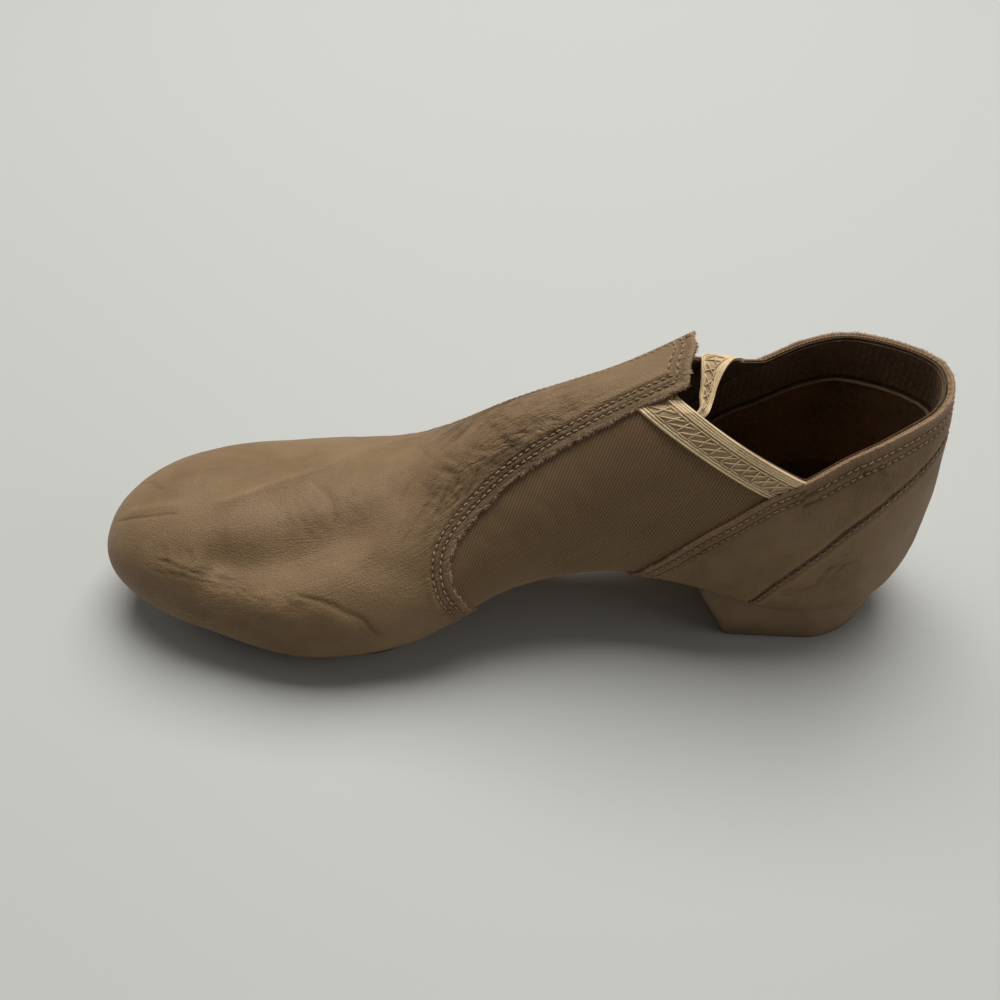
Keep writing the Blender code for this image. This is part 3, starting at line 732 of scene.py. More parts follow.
def make_vamp():
    """Vamp: columns run from the raw edge to the toe's tip."""
    side, throat, mirrored = vamp_edge_path()
    edge = np.concatenate([
        even_places(side, VAMP_SIDE)[:-1],
        even_places(throat, VAMP_THROAT),
        even_places(mirrored, VAMP_SIDE)[1:],
    ])
    toe_wrap = np.linspace(180, -180, len(edge))
    t = np.linspace(0, 1, 700)[:, None]
    turn = t * t * (3 - 2 * t)
    share = edge[None, :, 0] + (1 - edge[None, :, 0]) * (0.35 * t + 0.65 * (2 * t - t * t))
    wrap = edge[None, :, 1] * (1 - turn) + toe_wrap[None, :] * turn
    dense = skin(np.clip(share, 0, 1), wrap)
    run = np.concatenate([
        np.zeros((1, len(edge))),
        np.cumsum(np.linalg.norm(np.diff(dense, axis=0), axis=2), axis=0),
    ])
    part = np.linspace(0, 1, VAMP_ROWS_COUNT)
    part = part - 0.35 * np.sin(np.pi * part) / np.pi * (1 - part)
    outer = np.empty((VAMP_ROWS_COUNT, len(edge), 3))
    for column in range(len(edge)):
        at = part * run[-1, column]
        for axis in range(3):
            outer[:, column, axis] = np.interp(at, run[:, column], dense[:, column, axis])
    normals = outward(outer)
    normals[-1] = (-1, 0, 0)
    rim = resample(skin(edge[:, 0], edge[:, 1]), 0.35 * MM)
    gap = distance_to(rim, outer)
    broad, sharp = vamp_relief(outer)
    bed = stitch_bed(gap, VAMP_ROWS)
    sharp = sharp * np.clip(gap / (5 * MM), 0.15, 1) + bed
    lift = broad * np.clip(gap / (5 * MM), 0.15, 1) + sharp
    lift[-3:] = lift[-3:].mean()
    share = 0.5 - outer[..., 0] / LENGTH
    pucker = np.exp(-(((share - 0.51) / 0.085) ** 2)) * np.clip(1.3 - gap / (26 * MM), 0, 1) * 1.5
    near = np.clip(0.5 - outer[..., 1] / (8 * MM), 0, 1)
    for most, place, reach, height in ((0.55, 0.84, 0.08, 21 * MM), (0.25, 0.72, 0.09, 33 * MM)):
        away = ((share - place) / reach) ** 2 + ((outer[..., 2] - height) / (6 * MM)) ** 2
        pucker += most * near * np.exp(-away)
    pucker += 0.5 * np.exp(-((gap / (5 * MM)) ** 2))
    outer = outer + normals * lift[..., None]
    rows = shell_rows(outer, normals, LEATHER, 1, 24)
    run_along = np.concatenate([[0], np.cumsum(np.linalg.norm(np.diff(outer[0], axis=0), axis=1))])
    maps = np.stack([np.broadcast_to(run_along, gap.shape), np.concatenate([
        np.zeros((1, len(edge))), np.cumsum(np.linalg.norm(np.diff(outer, axis=0), axis=2), axis=0)])], -1)
    # fold also paints colour: darker in the creases and stitch grooves (painted shade) and lighter on their ridges
    # (painted highlight). pucker sets the fine wrinkles, whose valleys take painted shade.
    values = {
        "fold": over_shell(np.clip(sharp / (0.62 * MM), -1, 1), len(rows), 0.0),
        "raw": over_shell(np.clip(1.25 - gap / (1.1 * MM), 0, 1), len(rows), 1.0),
        "pucker": over_shell(pucker, len(rows), 0.0),
    }
    return lay_grid("vamp_leather", rows, over_shell(maps, len(rows), 0.0), values)


def leather_band(name, front, count, low_line, high_line, places, relief, raw_reach, low_floor=-90.0):
    """Band of leather round the heel, as a closed wall between two side-view lines."""
    outer = rib_sheet(front, count, 90, low_line, high_line, places, None, low_floor)
    outer = outer.transpose(1, 0, 2)[::-1]
    normals = outward(outer)
    lift = relief(outer)
    rise = np.linalg.norm(outer - outer[0], axis=-1)
    outer = outer + normals * lift[..., None]
    rows = shell_rows(outer, normals, LEATHER, 2, 10, 0.25 * MM)
    share = 0.5 - outer[..., 0] / LENGTH
    maps = np.stack([outer[..., 0], outer[..., 2]], -1)
    # fold also paints colour: darker in the seam, stitch grooves and wrinkles (painted shade) and lighter on ridges
    # (painted highlight).
    values = {
        "fold": over_shell(np.clip(lift / (0.45 * MM), -1, 1), len(rows), 0.0),
        "raw": over_shell(np.clip(1.25 - rise / raw_reach, 0, 1), len(rows), 1.0),
        "pucker": over_shell(0.35 * np.exp(-(((share - 0.16) / 0.06) ** 2)), len(rows), 0.0),
    }
    return lay_grid(name, rows, over_shell(maps, len(rows), 0.0), values)


def quarter_relief(points):
    """Stitched rows below the rim and along the front edge, and the seam's groove."""
    share = 0.5 - points[..., 0] / LENGTH
    lift = 0.16 * MM * plain_noise(points, 10 * MM, 5)
    lift += 0.05 * MM * plain_noise(points, 3 * MM, 6)
    for path, reach, depth in wrinkle_paths(QUARTER_WRINKLES, 9):
        lift += crease_lift(points, path, reach, depth)
    gap = distance_to(QUARTER_TOP, points)
    rows = np.where(share[..., None] > CORNER_SHARE, FRONT_ROWS, RIM_ROWS)
    for k in range(2):
        lift -= 0.30 * MM * np.exp(-(((gap - rows[..., k]) / (0.5 * MM)) ** 2))
    seam = distance_to(SEAM_PATH, points)
    lift -= 0.55 * MM * np.exp(-((seam / (0.7 * MM)) ** 2))
    lift += 0.18 * MM * np.exp(-(((seam - 2.2 * MM) / (1.2 * MM)) ** 2))
    return lift


def counter_relief(points):
    lift = 0.20 * MM * plain_noise(points, 12 * MM, 7)
    lift += 0.05 * MM * plain_noise(points, 3 * MM, 8)
    for path, reach, depth in wrinkle_paths(COUNTER_WRINKLES, 11):
        lift += crease_lift(points, path, reach, depth)
    seam = distance_to(SEAM_PATH, points)
    lift -= 0.55 * MM * np.exp(-((seam / (0.7 * MM)) ** 2))
    lift -= 0.28 * MM * np.exp(-(((seam - SEAM_ROW) / (0.45 * MM)) ** 2))
    lift += 0.12 * MM * np.exp(-(((seam - 2.6 * MM) / (1.0 * MM)) ** 2))
    return lift


QUARTER_WRINKLES = (
    Wrinkles(0.10, 68, 0.05, 4, 0.014, -3, 12, -0.14 * MM, 0.7 * MM),
    Wrinkles(0.28, 92, 0.04, 8, 0.010, -6, 8, -0.12 * MM, 0.7 * MM),
)
COUNTER_WRINKLES = (
    Wrinkles(0.145, 88, 0.025, 3, 0.022, 1, 7, -0.15 * MM, 0.42 * MM),
    Wrinkles(0.165, 93, 0.025, 3, 0.020, 2, 6, -0.12 * MM, 0.5 * MM),
)


def line_path(line, front, spacing=0.35 * MM):
    """Path on the skin where a side-view line runs round the heel."""
    origins, directions = fan_ribs(front, 320, 90)
    angles = rib_angle(origins, directions, line)
    points = rib_points(origins, directions, angles[:, None])[angles > math.radians(-70), 0]
    return resample(points, spacing)


QUARTER_TOP = line_path(top_line, QUARTER_TIP)
SEAM_PATH = line_path(counter_line, SEAM_FOOT)


def bump_in(tree, height, strength, distance, normal=None):
    bump = tree.nodes.new("ShaderNodeBump")
    bump.inputs["Strength"].default_value = strength
    bump.inputs["Distance"].default_value = distance
    tree.links.new(height, bump.inputs["Height"])
    if normal is not None:
        tree.links.new(normal, bump.inputs["Normal"])
    return bump.outputs["Normal"]


def add_node(tree, kind, **settings):
    node = tree.nodes.new(kind)
    for name, value in settings.items():
        if name.startswith("in_"):
            node.inputs[name[3:].replace("_", " ")].default_value = value
        else:
            setattr(node, name, value)
    return node


def ramp(tree, source, stops):
    node = tree.nodes.new("ShaderNodeValToRGB")
    node.color_ramp.elements[0].position = stops[0][0]
    node.color_ramp.elements[0].color = (*stops[0][1], 1)
    node.color_ramp.elements[1].position = stops[-1][0]
    node.color_ramp.elements[1].color = (*stops[-1][1], 1)
    for place, colour in stops[1:-1]:
        node.color_ramp.elements.new(place).color = (*colour, 1)
    tree.links.new(source, node.inputs["Fac"])
    return node.outputs["Color"]


def mix_colour(tree, fac, first, second, blend="MIX"):
    node = tree.nodes.new("ShaderNodeMix")
    node.data_type = "RGBA"
    node.blend_type = blend
    for socket, value in ((node.inputs[0], fac), (node.inputs[6], first), (node.inputs[7], second)):
        if isinstance(value, bpy.types.NodeSocket):
            tree.links.new(value, socket)
        elif isinstance(value, tuple):
            socket.default_value = (*value, 1)
        else:
            socket.default_value = value
    return node.outputs[2]


def maths(tree, operation, first, second=0.5, third=0.5):
    node = tree.nodes.new("ShaderNodeMath")
    node.operation = operation
    for socket, value in zip(node.inputs, (first, second, third)):
        if isinstance(value, bpy.types.NodeSocket):
            tree.links.new(value, socket)
        else:
            socket.default_value = value
    return node.outputs[0]


def start_group(name, inputs, outputs):
    group = bpy.data.node_groups.new(name, "ShaderNodeTree")
    for label, value in inputs:
        socket = group.interface.new_socket(label, in_out="INPUT", socket_type="NodeSocketFloat")
        socket.default_value = value
    for label in outputs:
        group.interface.new_socket(label, in_out="OUTPUT", socket_type="NodeSocketFloat")
    return group, group.nodes.new("NodeGroupInput"), group.nodes.new("NodeGroupOutput")


def make_grain_group():
    """Fine pebbles of soft leather, broken by pores, with a slow change of tone."""
    group, given, made = start_group(
        "leather_grain", (("Pebble size", 1.0), ("Unevenness", 1.0)), ("Height", "Tone", "Pores"))
    place = add_node(group, "ShaderNodeTexCoord").outputs["Object"]
    warp = add_node(group, "ShaderNodeTexNoise", in_Scale=420.0, in_Detail=2.0)
    group.links.new(place, warp.inputs["Vector"])
    spread = add_node(group, "ShaderNodeVectorMath", operation="MULTIPLY_ADD")
    group.links.new(warp.outputs["Color"], spread.inputs[0])
    spread.inputs[1].default_value = (0.0011, 0.0011, 0.0011)
    group.links.new(place, spread.inputs[2])
    cells = add_node(group, "ShaderNodeTexVoronoi", feature="DISTANCE_TO_EDGE")
    group.links.new(spread.outputs[0], cells.inputs["Vector"])
    size = maths(group, "DIVIDE", 1150.0, given.outputs["Pebble size"])
    group.links.new(size, cells.inputs["Scale"])
    pebble = maths(group, "SMOOTH_MIN", cells.outputs["Distance"], 0.16, 0.12)
    fine = add_node(group, "ShaderNodeTexNoise", in_Scale=1500.0, in_Detail=3.0, in_Roughness=0.6)
    group.links.new(place, fine.inputs["Vector"])
    height = maths(group, "MULTIPLY_ADD", pebble, 4.0, fine.outputs["Fac"])
    slow = add_node(group, "ShaderNodeTexNoise", in_Scale=46.0, in_Detail=4.0, in_Roughness=0.6)
    group.links.new(place, slow.inputs["Vector"])
    tone = maths(group, "MULTIPLY", slow.outputs["Fac"], given.outputs["Unevenness"])
    group.links.new(height, made.inputs["Height"])
    group.links.new(tone, made.inputs["Tone"])
    group.links.new(maths(group, "MULTIPLY", pebble, 6.0), made.inputs["Pores"])
    return group


def make_wrinkle_group():
    """Fine branching wrinkles of soft leather, run square to the nearest edge."""
    group, given, made = start_group("fine_wrinkles", (("Amount", 1.0),), ("Height", "Valley"))
    place = add_node(group, "ShaderNodeUVMap").outputs["UV"]
    warp = add_node(group, "ShaderNodeTexNoise", in_Scale=160.0, in_Detail=2.0)
    group.links.new(place, warp.inputs["Vector"])
    bent = add_node(group, "ShaderNodeVectorMath", operation="MULTIPLY_ADD")
    group.links.new(warp.outputs["Color"], bent.inputs[0])
    bent.inputs[1].default_value = (0.0042, 0.0042, 0.0)
    group.links.new(place, bent.inputs[2])
    valleys = []
    for scale in ((430.0, 105.0, 1.0), (820.0, 330.0, 1.0)):
        stretched = add_node(group, "ShaderNodeMapping")
        stretched.inputs["Scale"].default_value = scale
        group.links.new(bent.outputs[0], stretched.inputs["Vector"])
        lines = add_node(group, "ShaderNodeTexNoise", in_Scale=1.0, in_Detail=1.0)
        group.links.new(stretched.outputs["Vector"], lines.inputs["Vector"])
        off = maths(group, "ABSOLUTE", maths(group, "SUBTRACT", lines.outputs["Fac"], 0.5))
        valleys.append(maths(group, "SMOOTH_MIN", maths(group, "MULTIPLY", off, 9.0), 1.0, 0.4))
    both = maths(group, "MULTIPLY_ADD", valleys[1], 0.45, valleys[0])
    deep = maths(group, "SUBTRACT", both, 1.45)
    patchy = add_node(group, "ShaderNodeTexNoise", in_Scale=130.0, in_Detail=2.0)
    group.links.new(place, patchy.inputs["Vector"])
    some = maths(group, "MULTIPLY", maths(group, "SUBTRACT", patchy.outputs["Fac"], 0.25), 2.2)
    amount = maths(group, "MULTIPLY", given.outputs["Amount"], some)
    height = maths(group, "MULTIPLY", deep, amount)
    group.links.new(height, made.inputs["Height"])
    # Valley: depth of the wrinkles, which the leather uses to paint shade into them.
    depth = maths(group, "MULTIPLY", height, -1.0)
    group.links.new(maths(group, "MAXIMUM", depth, 0.0), made.inputs["Valley"])
    return group


def new_material(name, roughness, sheen=0.0, sheen_colour=(1, 1, 1), specular=0.5):
    material = bpy.data.materials.new(name)
    material.use_nodes = True
    tree = material.node_tree
    shader = tree.nodes["Principled BSDF"]
    shader.inputs["Roughness"].default_value = roughness
    shader.inputs["Specular IOR Level"].default_value = specular
    shader.inputs["Sheen Weight"].default_value = sheen
    shader.inputs["Sheen Tint"].default_value = (*sheen_colour, 1)
    shader.inputs["Sheen Roughness"].default_value = 0.5
    return material, tree, shader


def place_group(tree, group, **values):
    node = tree.nodes.new("ShaderNodeGroup")
    node.node_tree = group
    for label, value in values.items():
        node.inputs[label.replace("_", " ")].default_value = value
    return node


def attribute(tree, name):
    return add_node(tree, "ShaderNodeAttribute", attribute_name=name).outputs["Fac"]


def leather_material(name, dark, plain, light, raw, roughness, bump):
    material, tree, shader = new_material(name, roughness, 0.03, (1.0, 0.85, 0.7), 0.28)
    grain = place_group(tree, GRAIN, Pebble_size=1.0, Unevenness=1.0)
    lines = place_group(tree, WRINKLE_LINES)
    tree.links.new(attribute(tree, "pucker"), lines.inputs["Amount"])
    base = ramp(tree, grain.outputs["Tone"], ((0.30, dark), (0.50, plain), (0.72, light)))
    # Painted shade and painted highlight: the fold attribute darkens the creases and stitch grooves and lightens their
    # ridges.
    wear_and_fold_shade = maths(tree, "MULTIPLY_ADD", attribute(tree, "fold"), 0.5, 0.5)
    shade = ramp(tree, wear_and_fold_shade, ((0.05, (0.42, 0.38, 0.33)), (0.38, (0.86, 0.84, 0.82)),
                              (0.52, (1.0, 1.0, 1.0)), (0.95, (1.15, 1.13, 1.10))))
    colour = mix_colour(tree, 0.85, base, shade, "MULTIPLY")
    pores = ramp(tree, grain.outputs["Pores"], ((0.0, (0.80, 0.77, 0.73)), (0.5, (1.0, 1.0, 1.0))))
    colour = mix_colour(tree, 0.6, colour, pores, "MULTIPLY")
    # The valleys of the fine wrinkles are darkened in colour: painted shade.
    valley = ramp(tree, lines.outputs["Valley"], ((0.0, (1.0, 1.0, 1.0)), (1.0, (0.70, 0.65, 0.60))))
    colour = mix_colour(tree, 0.75, colour, valley, "MULTIPLY")
    patch = add_node(tree, "ShaderNodeTexNoise", in_Scale=900.0, in_Detail=3.0)
    tree.links.new(add_node(tree, "ShaderNodeTexCoord").outputs["Object"], patch.inputs["Vector"])
    cut = maths(tree, "MULTIPLY_ADD", patch.outputs["Fac"], 1.6, -0.35)
    torn = maths(tree, "MULTIPLY", attribute(tree, "raw"), cut)
    colour = mix_colour(tree, maths(tree, "MINIMUM", torn, 1.0), colour, raw)
    tree.links.new(colour, shader.inputs["Base Color"])
    gloss = add_node(tree, "ShaderNodeMapRange")
    gloss.inputs["To Min"].default_value = roughness + 0.10
    gloss.inputs["To Max"].default_value = roughness - 0.08
    tree.links.new(grain.outputs["Tone"], gloss.inputs["Value"])
    tree.links.new(gloss.outputs["Result"], shader.inputs["Roughness"])
    wrinkled = bump_in(tree, lines.outputs["Height"], 0.9, 0.30 * MM)
    fuzzy = bump_in(tree, torn, 0.6, 0.35 * MM, wrinkled)
    tree.links.new(bump_in(tree, grain.outputs["Height"], bump, 0.25 * MM, fuzzy), shader.inputs["Normal"])
    return material


def fabric_material(name, dark, light, pitch, across, bump, roughness=0.9):
    """Woven face: ribs of thread along the piece's own map, finely twisted."""
    ribs = math.pi / 10 / pitch
    material, tree, shader = new_material(name, roughness, 0.25, (1.0, 0.86, 0.7), 0.25)
    place = add_node(tree, "ShaderNodeUVMap").outputs["UV"]
    turned = add_node(tree, "ShaderNodeMapping")
    turned.inputs["Rotation"].default_value = (0, 0, across)
    tree.links.new(place, turned.inputs["Vector"])
    wave = add_node(tree, "ShaderNodeTexWave", wave_profile="SIN", in_Scale=ribs, in_Distortion=0.35,
                    in_Detail=1.0, in_Detail_Scale=3.0)
    tree.links.new(turned.outputs["Vector"], wave.inputs["Vector"])
    thread = add_node(tree, "ShaderNodeTexWave", bands_direction="Y", in_Scale=ribs * 1.3,
                      in_Distortion=0.6)
    tree.links.new(turned.outputs["Vector"], thread.inputs["Vector"])
    weave = maths(tree, "MULTIPLY_ADD", thread.outputs["Fac"], 0.35, wave.outputs["Fac"])
    slow = add_node(tree, "ShaderNodeTexNoise", in_Scale=60.0, in_Detail=3.0)
    tree.links.new(add_node(tree, "ShaderNodeTexCoord").outputs["Object"], slow.inputs["Vector"])
    colour = ramp(tree, weave, ((0.1, dark), (1.1, light)))
    colour = mix_colour(tree, 0.5, colour, ramp(tree, slow.outputs["Fac"], (
        (0.3, (0.80, 0.78, 0.75)), (0.7, (1.1, 1.1, 1.1)))), "MULTIPLY")
    tree.links.new(colour, shader.inputs["Base Color"])
    tree.links.new(bump_in(tree, weave, bump, 0.2 * MM), shader.inputs["Normal"])
    return material


def nap_material(name, dark, light, scale, bump, roughness=0.95, sheen=0.2, raised=None):
    """Brushed or suede face: soft clumps of short nap, lighter where an attribute is high: a painted highlight on
    raised parts.
    """
    material, tree, shader = new_material(name, roughness, sheen, (1.0, 0.82, 0.64), 0.2)
    place = add_node(tree, "ShaderNodeTexCoord").outputs["Object"]
    clump = add_node(tree, "ShaderNodeTexNoise", in_Scale=scale, in_Detail=5.0, in_Roughness=0.7)
    tree.links.new(place, clump.inputs["Vector"])
    slow = add_node(tree, "ShaderNodeTexNoise", in_Scale=scale * 0.08, in_Detail=2.0)
    tree.links.new(place, slow.inputs["Vector"])
    both = maths(tree, "MULTIPLY_ADD", slow.outputs["Fac"], 0.8, clump.outputs["Fac"])
    colour = ramp(tree, both, ((0.55, dark), (1.15, light)))
    if raised:
        # Raised cords lighter and the hollows between them darker: painted highlight and painted shade.
        tone = ramp(tree, attribute(tree, raised), ((0.0, (0.78, 0.75, 0.70)), (1.0, (1.35, 1.35, 1.30))))
        colour = mix_colour(tree, 1.0, colour, tone, "MULTIPLY")
    tree.links.new(colour, shader.inputs["Base Color"])
    tree.links.new(bump_in(tree, clump.outputs["Fac"], bump, 0.4 * MM), shader.inputs["Normal"])
    return material


def rubber_material(name, dark, light):
    material, tree, shader = new_material(name, 0.62, 0.0, (1, 1, 1), 0.35)
    place = add_node(tree, "ShaderNodeTexCoord").outputs["Object"]
    slow = add_node(tree, "ShaderNodeTexNoise", in_Scale=90.0, in_Detail=5.0, in_Roughness=0.65)
    tree.links.new(place, slow.inputs["Vector"])
    fine = add_node(tree, "ShaderNodeTexNoise", in_Scale=1400.0, in_Detail=2.0)
    tree.links.new(place, fine.inputs["Vector"])
    tone = ramp(tree, slow.outputs["Fac"], ((0.3, dark), (0.7, light)))
    tree.links.new(tone, shader.inputs["Base Color"])
    tree.links.new(bump_in(tree, fine.outputs["Fac"], 0.25, 0.15 * MM), shader.inputs["Normal"])
    return material


GRAIN = make_grain_group()
WRINKLE_LINES = make_wrinkle_group()
LEATHER_FACE = leather_material("tan_leather_face", (0.205, 0.124, 0.056), (0.252, 0.158, 0.076),
                                (0.290, 0.187, 0.095), (0.36, 0.215, 0.125), 0.56, 0.45)
STRETCH = fabric_material("stretch_twill", (0.160, 0.095, 0.042), (0.275, 0.175, 0.088),
                          0.74 * MM, 0.42, 0.60)
LINING_FACE = nap_material("brown_lining_face", (0.030, 0.016, 0.008), (0.105, 0.060, 0.030), 700.0, 0.5)
ELASTIC = nap_material("elastic_face", (0.47, 0.34, 0.19), (0.76, 0.58, 0.36),
                       1500.0, 0.35, 0.85, 0.1, "cord")
KNIT_FACE = nap_material("knit_tape_face", (0.035, 0.018, 0.009), (0.16, 0.092, 0.048), 900.0, 0.9)
ELASTIC_THREAD = nap_material("elastic_thread", (0.46, 0.335, 0.19), (0.80, 0.60, 0.37),
                              1800.0, 0.3, 0.8, 0.1)
FIBRE = nap_material("leather_fibre", (0.34, 0.20, 0.12), (0.66, 0.46, 0.33), 600.0, 0.1, 0.9, 0.1)
LINING_ROLL = nap_material("heel_lining_roll", (0.12, 0.070, 0.036), (0.27, 0.175, 0.10), 1400.0, 0.7)
SUEDE_FACE = nap_material("heel_suede_face", (0.075, 0.038, 0.014), (0.190, 0.100, 0.042), 800.0, 0.6)
THREAD = nap_material("tan_thread", (0.20, 0.13, 0.075), (0.42, 0.30, 0.19), 2500.0, 0.4, 0.8, 0.2)
RUBBER = rubber_material("tan_rubber_face", (0.215, 0.135, 0.070), (0.285, 0.185, 0.100))


def dress(piece, material, slot, *nodes):
    """Gives a finished piece its material, its body and what it stands for."""
    piece.data.materials.clear()
    piece.data.materials.append(material)
    piece.data.shade_smooth()
    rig.ride(piece, BODY)
    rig.slot(piece, slot)
    if nodes:
        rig.replaces(piece, *nodes)
    return piece


def wrap_at(share, height):
    """Wrap angle on the near side at which the skin has a height."""
    share, height = np.broadcast_arrays(np.asarray(share, float), np.asarray(height, float))
    low = np.full(share.shape, 1.0)
    high = np.full(share.shape, 170.0)
    for _ in range(30):
        middle = 0.5 * (low + high)
        above = skin(share, middle)[..., 2] > height
        low = np.where(above, middle, low)
        high = np.where(above, high, middle)
    return 0.5 * (low + high)


# Elastic strip: shares of its top and lower edge at its rear and front end, with the
# hidden part of each end under the leather
ELASTIC_REAR = (0.186, 0.222)
ELASTIC_FRONT = (0.326, 0.384)
ELASTIC_LENGTH_STEPS = 200
CORDS = (0.03, 0.10, 0.17, 0.24, 0.86, 0.95)


def elastic_places(mix, across):
    """Share and wrap on the strip; mix runs to the front, across runs down."""
    top = ELASTIC_REAR[0] * (1 - mix) + ELASTIC_FRONT[0] * mix
    low = ELASTIC_REAR[1] * (1 - mix) + ELASTIC_FRONT[1] * mix
    share = top * (1 - across) + low * across
    height = slit_height(share) - ELASTIC_DROP * across
    return share, wrap_at(share, height)


def elastic_depth(mix):
    """The strip dives under the leather at both ends."""
    rear = np.clip((0.10 - mix) / 0.08, 0, 1)
    front = np.clip((mix - 0.90) / 0.08, 0, 1)
    return 0.30 * MM + 0.95 * MM * np.maximum(rear, front)


# Far strip, slack and fallen inwards: its outer and its free edge from the rear forward
SLACK_OUTER = ((70.5, 28.3, 58.8), (66, 27.6, 60.4), (60, 26.6, 62.4), (54.8, 25.4, 63.8),
               (54.0, 22.5, 63.0), (53.6, 18.0, 61.0), (52.9, 13.5, 58.6), (52.0, 8.5, 57.0),
               (47.0, 5, 56.0), (40.0, 4, 57.5))
SLACK_FREE = ((71.5, 28.4, 58.2), (68.0, 27.3, 60.0), (66.3, 26.6, 61.0), (63.2, 24.0, 62.4),
              (60.6, 20.6, 61.6), (58.2, 16.6, 58.8), (56.3, 12.1, 56.0), (53.8, 7.8, 55.0),
              (48.0, 5, 53.2), (42.0, 4, 55.0))


def through(points, count):
    """Evenly spaced smooth curve through a few points given in millimetres."""
    table = np.array(points, float) * MM
    index = np.arange(len(table), dtype=float)
    at = np.linspace(0, len(table) - 1, 300)
    path = np.stack([smooth_through(index, table[:, axis], at) for axis in range(3)], -1)
    run = np.concatenate([[0], np.cumsum(np.linalg.norm(np.diff(path, axis=0), axis=1))])
    even = np.linspace(0, run[-1], count)
    return np.stack([np.interp(even, run, path[:, axis]) for axis in range(3)], -1)


def far_strip(across, mix):
    """Points and normals on the slack strip; across 0 is its free edge."""
    outer = through(SLACK_OUTER, ELASTIC_LENGTH_STEPS)
    free = through(SLACK_FREE, ELASTIC_LENGTH_STEPS)
    at = mix * (ELASTIC_LENGTH_STEPS - 1)
    index = np.arange(ELASTIC_LENGTH_STEPS)
    first = np.stack([np.interp(at, index, free[:, axis]) for axis in range(3)], -1)
    second = np.stack([np.interp(at, index, outer[:, axis]) for axis in range(3)], -1)
    points = first * (1 - across[..., None]) + second * across[..., None]
    ahead = np.stack([np.interp(np.minimum(at + 2, index[-1]), index, free[:, axis])
                      - np.interp(np.maximum(at - 2, 0), index, free[:, axis]) for axis in range(3)], -1)
    normals = np.cross(ahead, second - first)
    normals /= np.maximum(np.linalg.norm(normals, axis=-1, keepdims=True), 1e-9)
    return points, normals * np.where(normals[..., 1:2] > 0, -1, 1)


def near_strip(across, mix):
    """Points and normals on the near strip, diving under the leather at both ends."""
    share, wrap = elastic_places(mix, across)
    points = skin(share, wrap)
    normals = outward(points)
    return points - normals * elastic_depth(mix)[..., None], normals


def make_elastic(name, strip):
    steps = np.linspace(0, 1, ELASTIC_LENGTH_STEPS)
    across, mix = np.meshgrid(np.linspace(-0.01, 1.0, 65), steps, indexing="ij")
    points, normals = strip(across, mix)
    lift = np.zeros(across.shape)
    for cord in CORDS:
        lift = np.maximum(lift, 0.40 * MM * np.sqrt(np.clip(1 - ((across - cord) / 0.036) ** 2, 0, 1)))
    ribs = 0.5 + 0.5 * np.sin(2 * np.pi * mix * 38 * MM / (0.62 * MM))
    middle = np.clip((across - 0.28) / 0.03, 0, 1) * np.clip((0.82 - across) / 0.03, 0, 1)
    lift = lift + 0.07 * MM * ribs * middle + 0.10 * MM * plain_noise(points, 6 * MM, 15)
    outer = points + normals * lift[..., None]
    rows = shell_rows(outer, normals, 0.5 * MM, 2, 20, 0.05 * MM)
    # cord: height of the raised cords, which the material turns into a painted highlight, with painted shade between
    # them.
    raised = over_shell(np.clip(lift / (0.4 * MM), 0, 1), len(rows), 0.5)
    return lay_grid(name, rows, None, {"cord": raised})


def elastic_path(strip, places, lift):
    """Path on a strip through (mix, across) places, raised a little."""
    table = np.array(places)
    points, normals = strip(table[:, 1], table[:, 0])
    return points + normals * lift


def zigzag(strip, name, count, draw):
    """Crossed zigzag thread along the middle of a strip."""
    bodies = []
    for k in range(count):
        start = 0.035 + 0.93 * k / count
        step = 0.93 / count
        wobble = draw.uniform(-0.15, 0.15) * step
        for places in (
            ((start, 0.34), (start + 0.95 * step + wobble, 0.78)),
            ((start + 0.05 * step, 0.78), (start + 0.75 * step + wobble, 0.34)),
            ((start, 0.33), (start + step, 0.34)),
            ((start, 0.79), (start + step, 0.78)),
        ):
            (m0, a0), (m1, a1) = places
            run = np.linspace(0, 1, 7)
            arch = 0.10 * MM + 0.16 * MM * (1 - (2 * run - 1) ** 4)
            line = [(m0 + (m1 - m0) * t, a0 + (a1 - a0) * t) for t in run]
            bodies.append(tube(elastic_path(strip, line, arch[:, None]), 0.20 * MM, 6))
    return join_parts(name, bodies)


def tube(path, radius, sides=6, taper=False):
    """Points and faces of a round thread along a path, closed at both ends."""
    tangent = np.gradient(path, axis=0)
    tangent /= np.linalg.norm(tangent, axis=1, keepdims=True)
    across = np.cross(tangent, (0.13, 0.31, 0.94))
    across /= np.linalg.norm(across, axis=1, keepdims=True)
    over = np.cross(tangent, across)
    turn = np.linspace(0, 2 * np.pi, sides, endpoint=False)
    wide = np.full(len(path), radius)
    wide[0] = wide[-1] = radius * 0.45
    if taper:
        wide = radius * np.linspace(1, 0.25, len(path))
    ring = np.cos(turn)[None, :, None] * across[:, None] + np.sin(turn)[None, :, None] * over[:, None]
    points = (path[:, None] + ring * wide[:, None, None]).reshape(-1, 3)
    faces = []
    for row in range(len(path) - 1):
        for k in range(sides):
            first = row * sides + k
            second = row * sides + (k + 1) % sides
            faces.append((first, second, second + sides, first + sides))
    faces.append(tuple(range(sides))[::-1])
    faces.append(tuple(range(len(points) - sides, len(points))))
    return points, faces


def join_parts(name, parts):
    """One mesh from many small bodies given as points and faces."""
    points = []
    faces = []
    for body, polygons in parts:
        start = sum(len(p) for p in points)
        points.append(body)
        faces += [tuple(start + k for k in polygon) for polygon in polygons]
    mesh = bpy.data.meshes.new(name)
    mesh.from_pydata(np.concatenate(points).tolist(), [], faces)
    mesh.update()
    piece = bpy.data.objects.new(name, mesh)
    bpy.context.scene.collection.objects.link(piece)
    deselect()
    piece.select_set(True)
    bpy.context.view_layer.objects.active = piece
    bpy.ops.object.mode_set(mode="EDIT")
    bpy.ops.mesh.select_all(action="SELECT")
    bpy.ops.mesh.normals_make_consistent(inside=False)
    bpy.ops.object.mode_set(mode="OBJECT")
    return piece


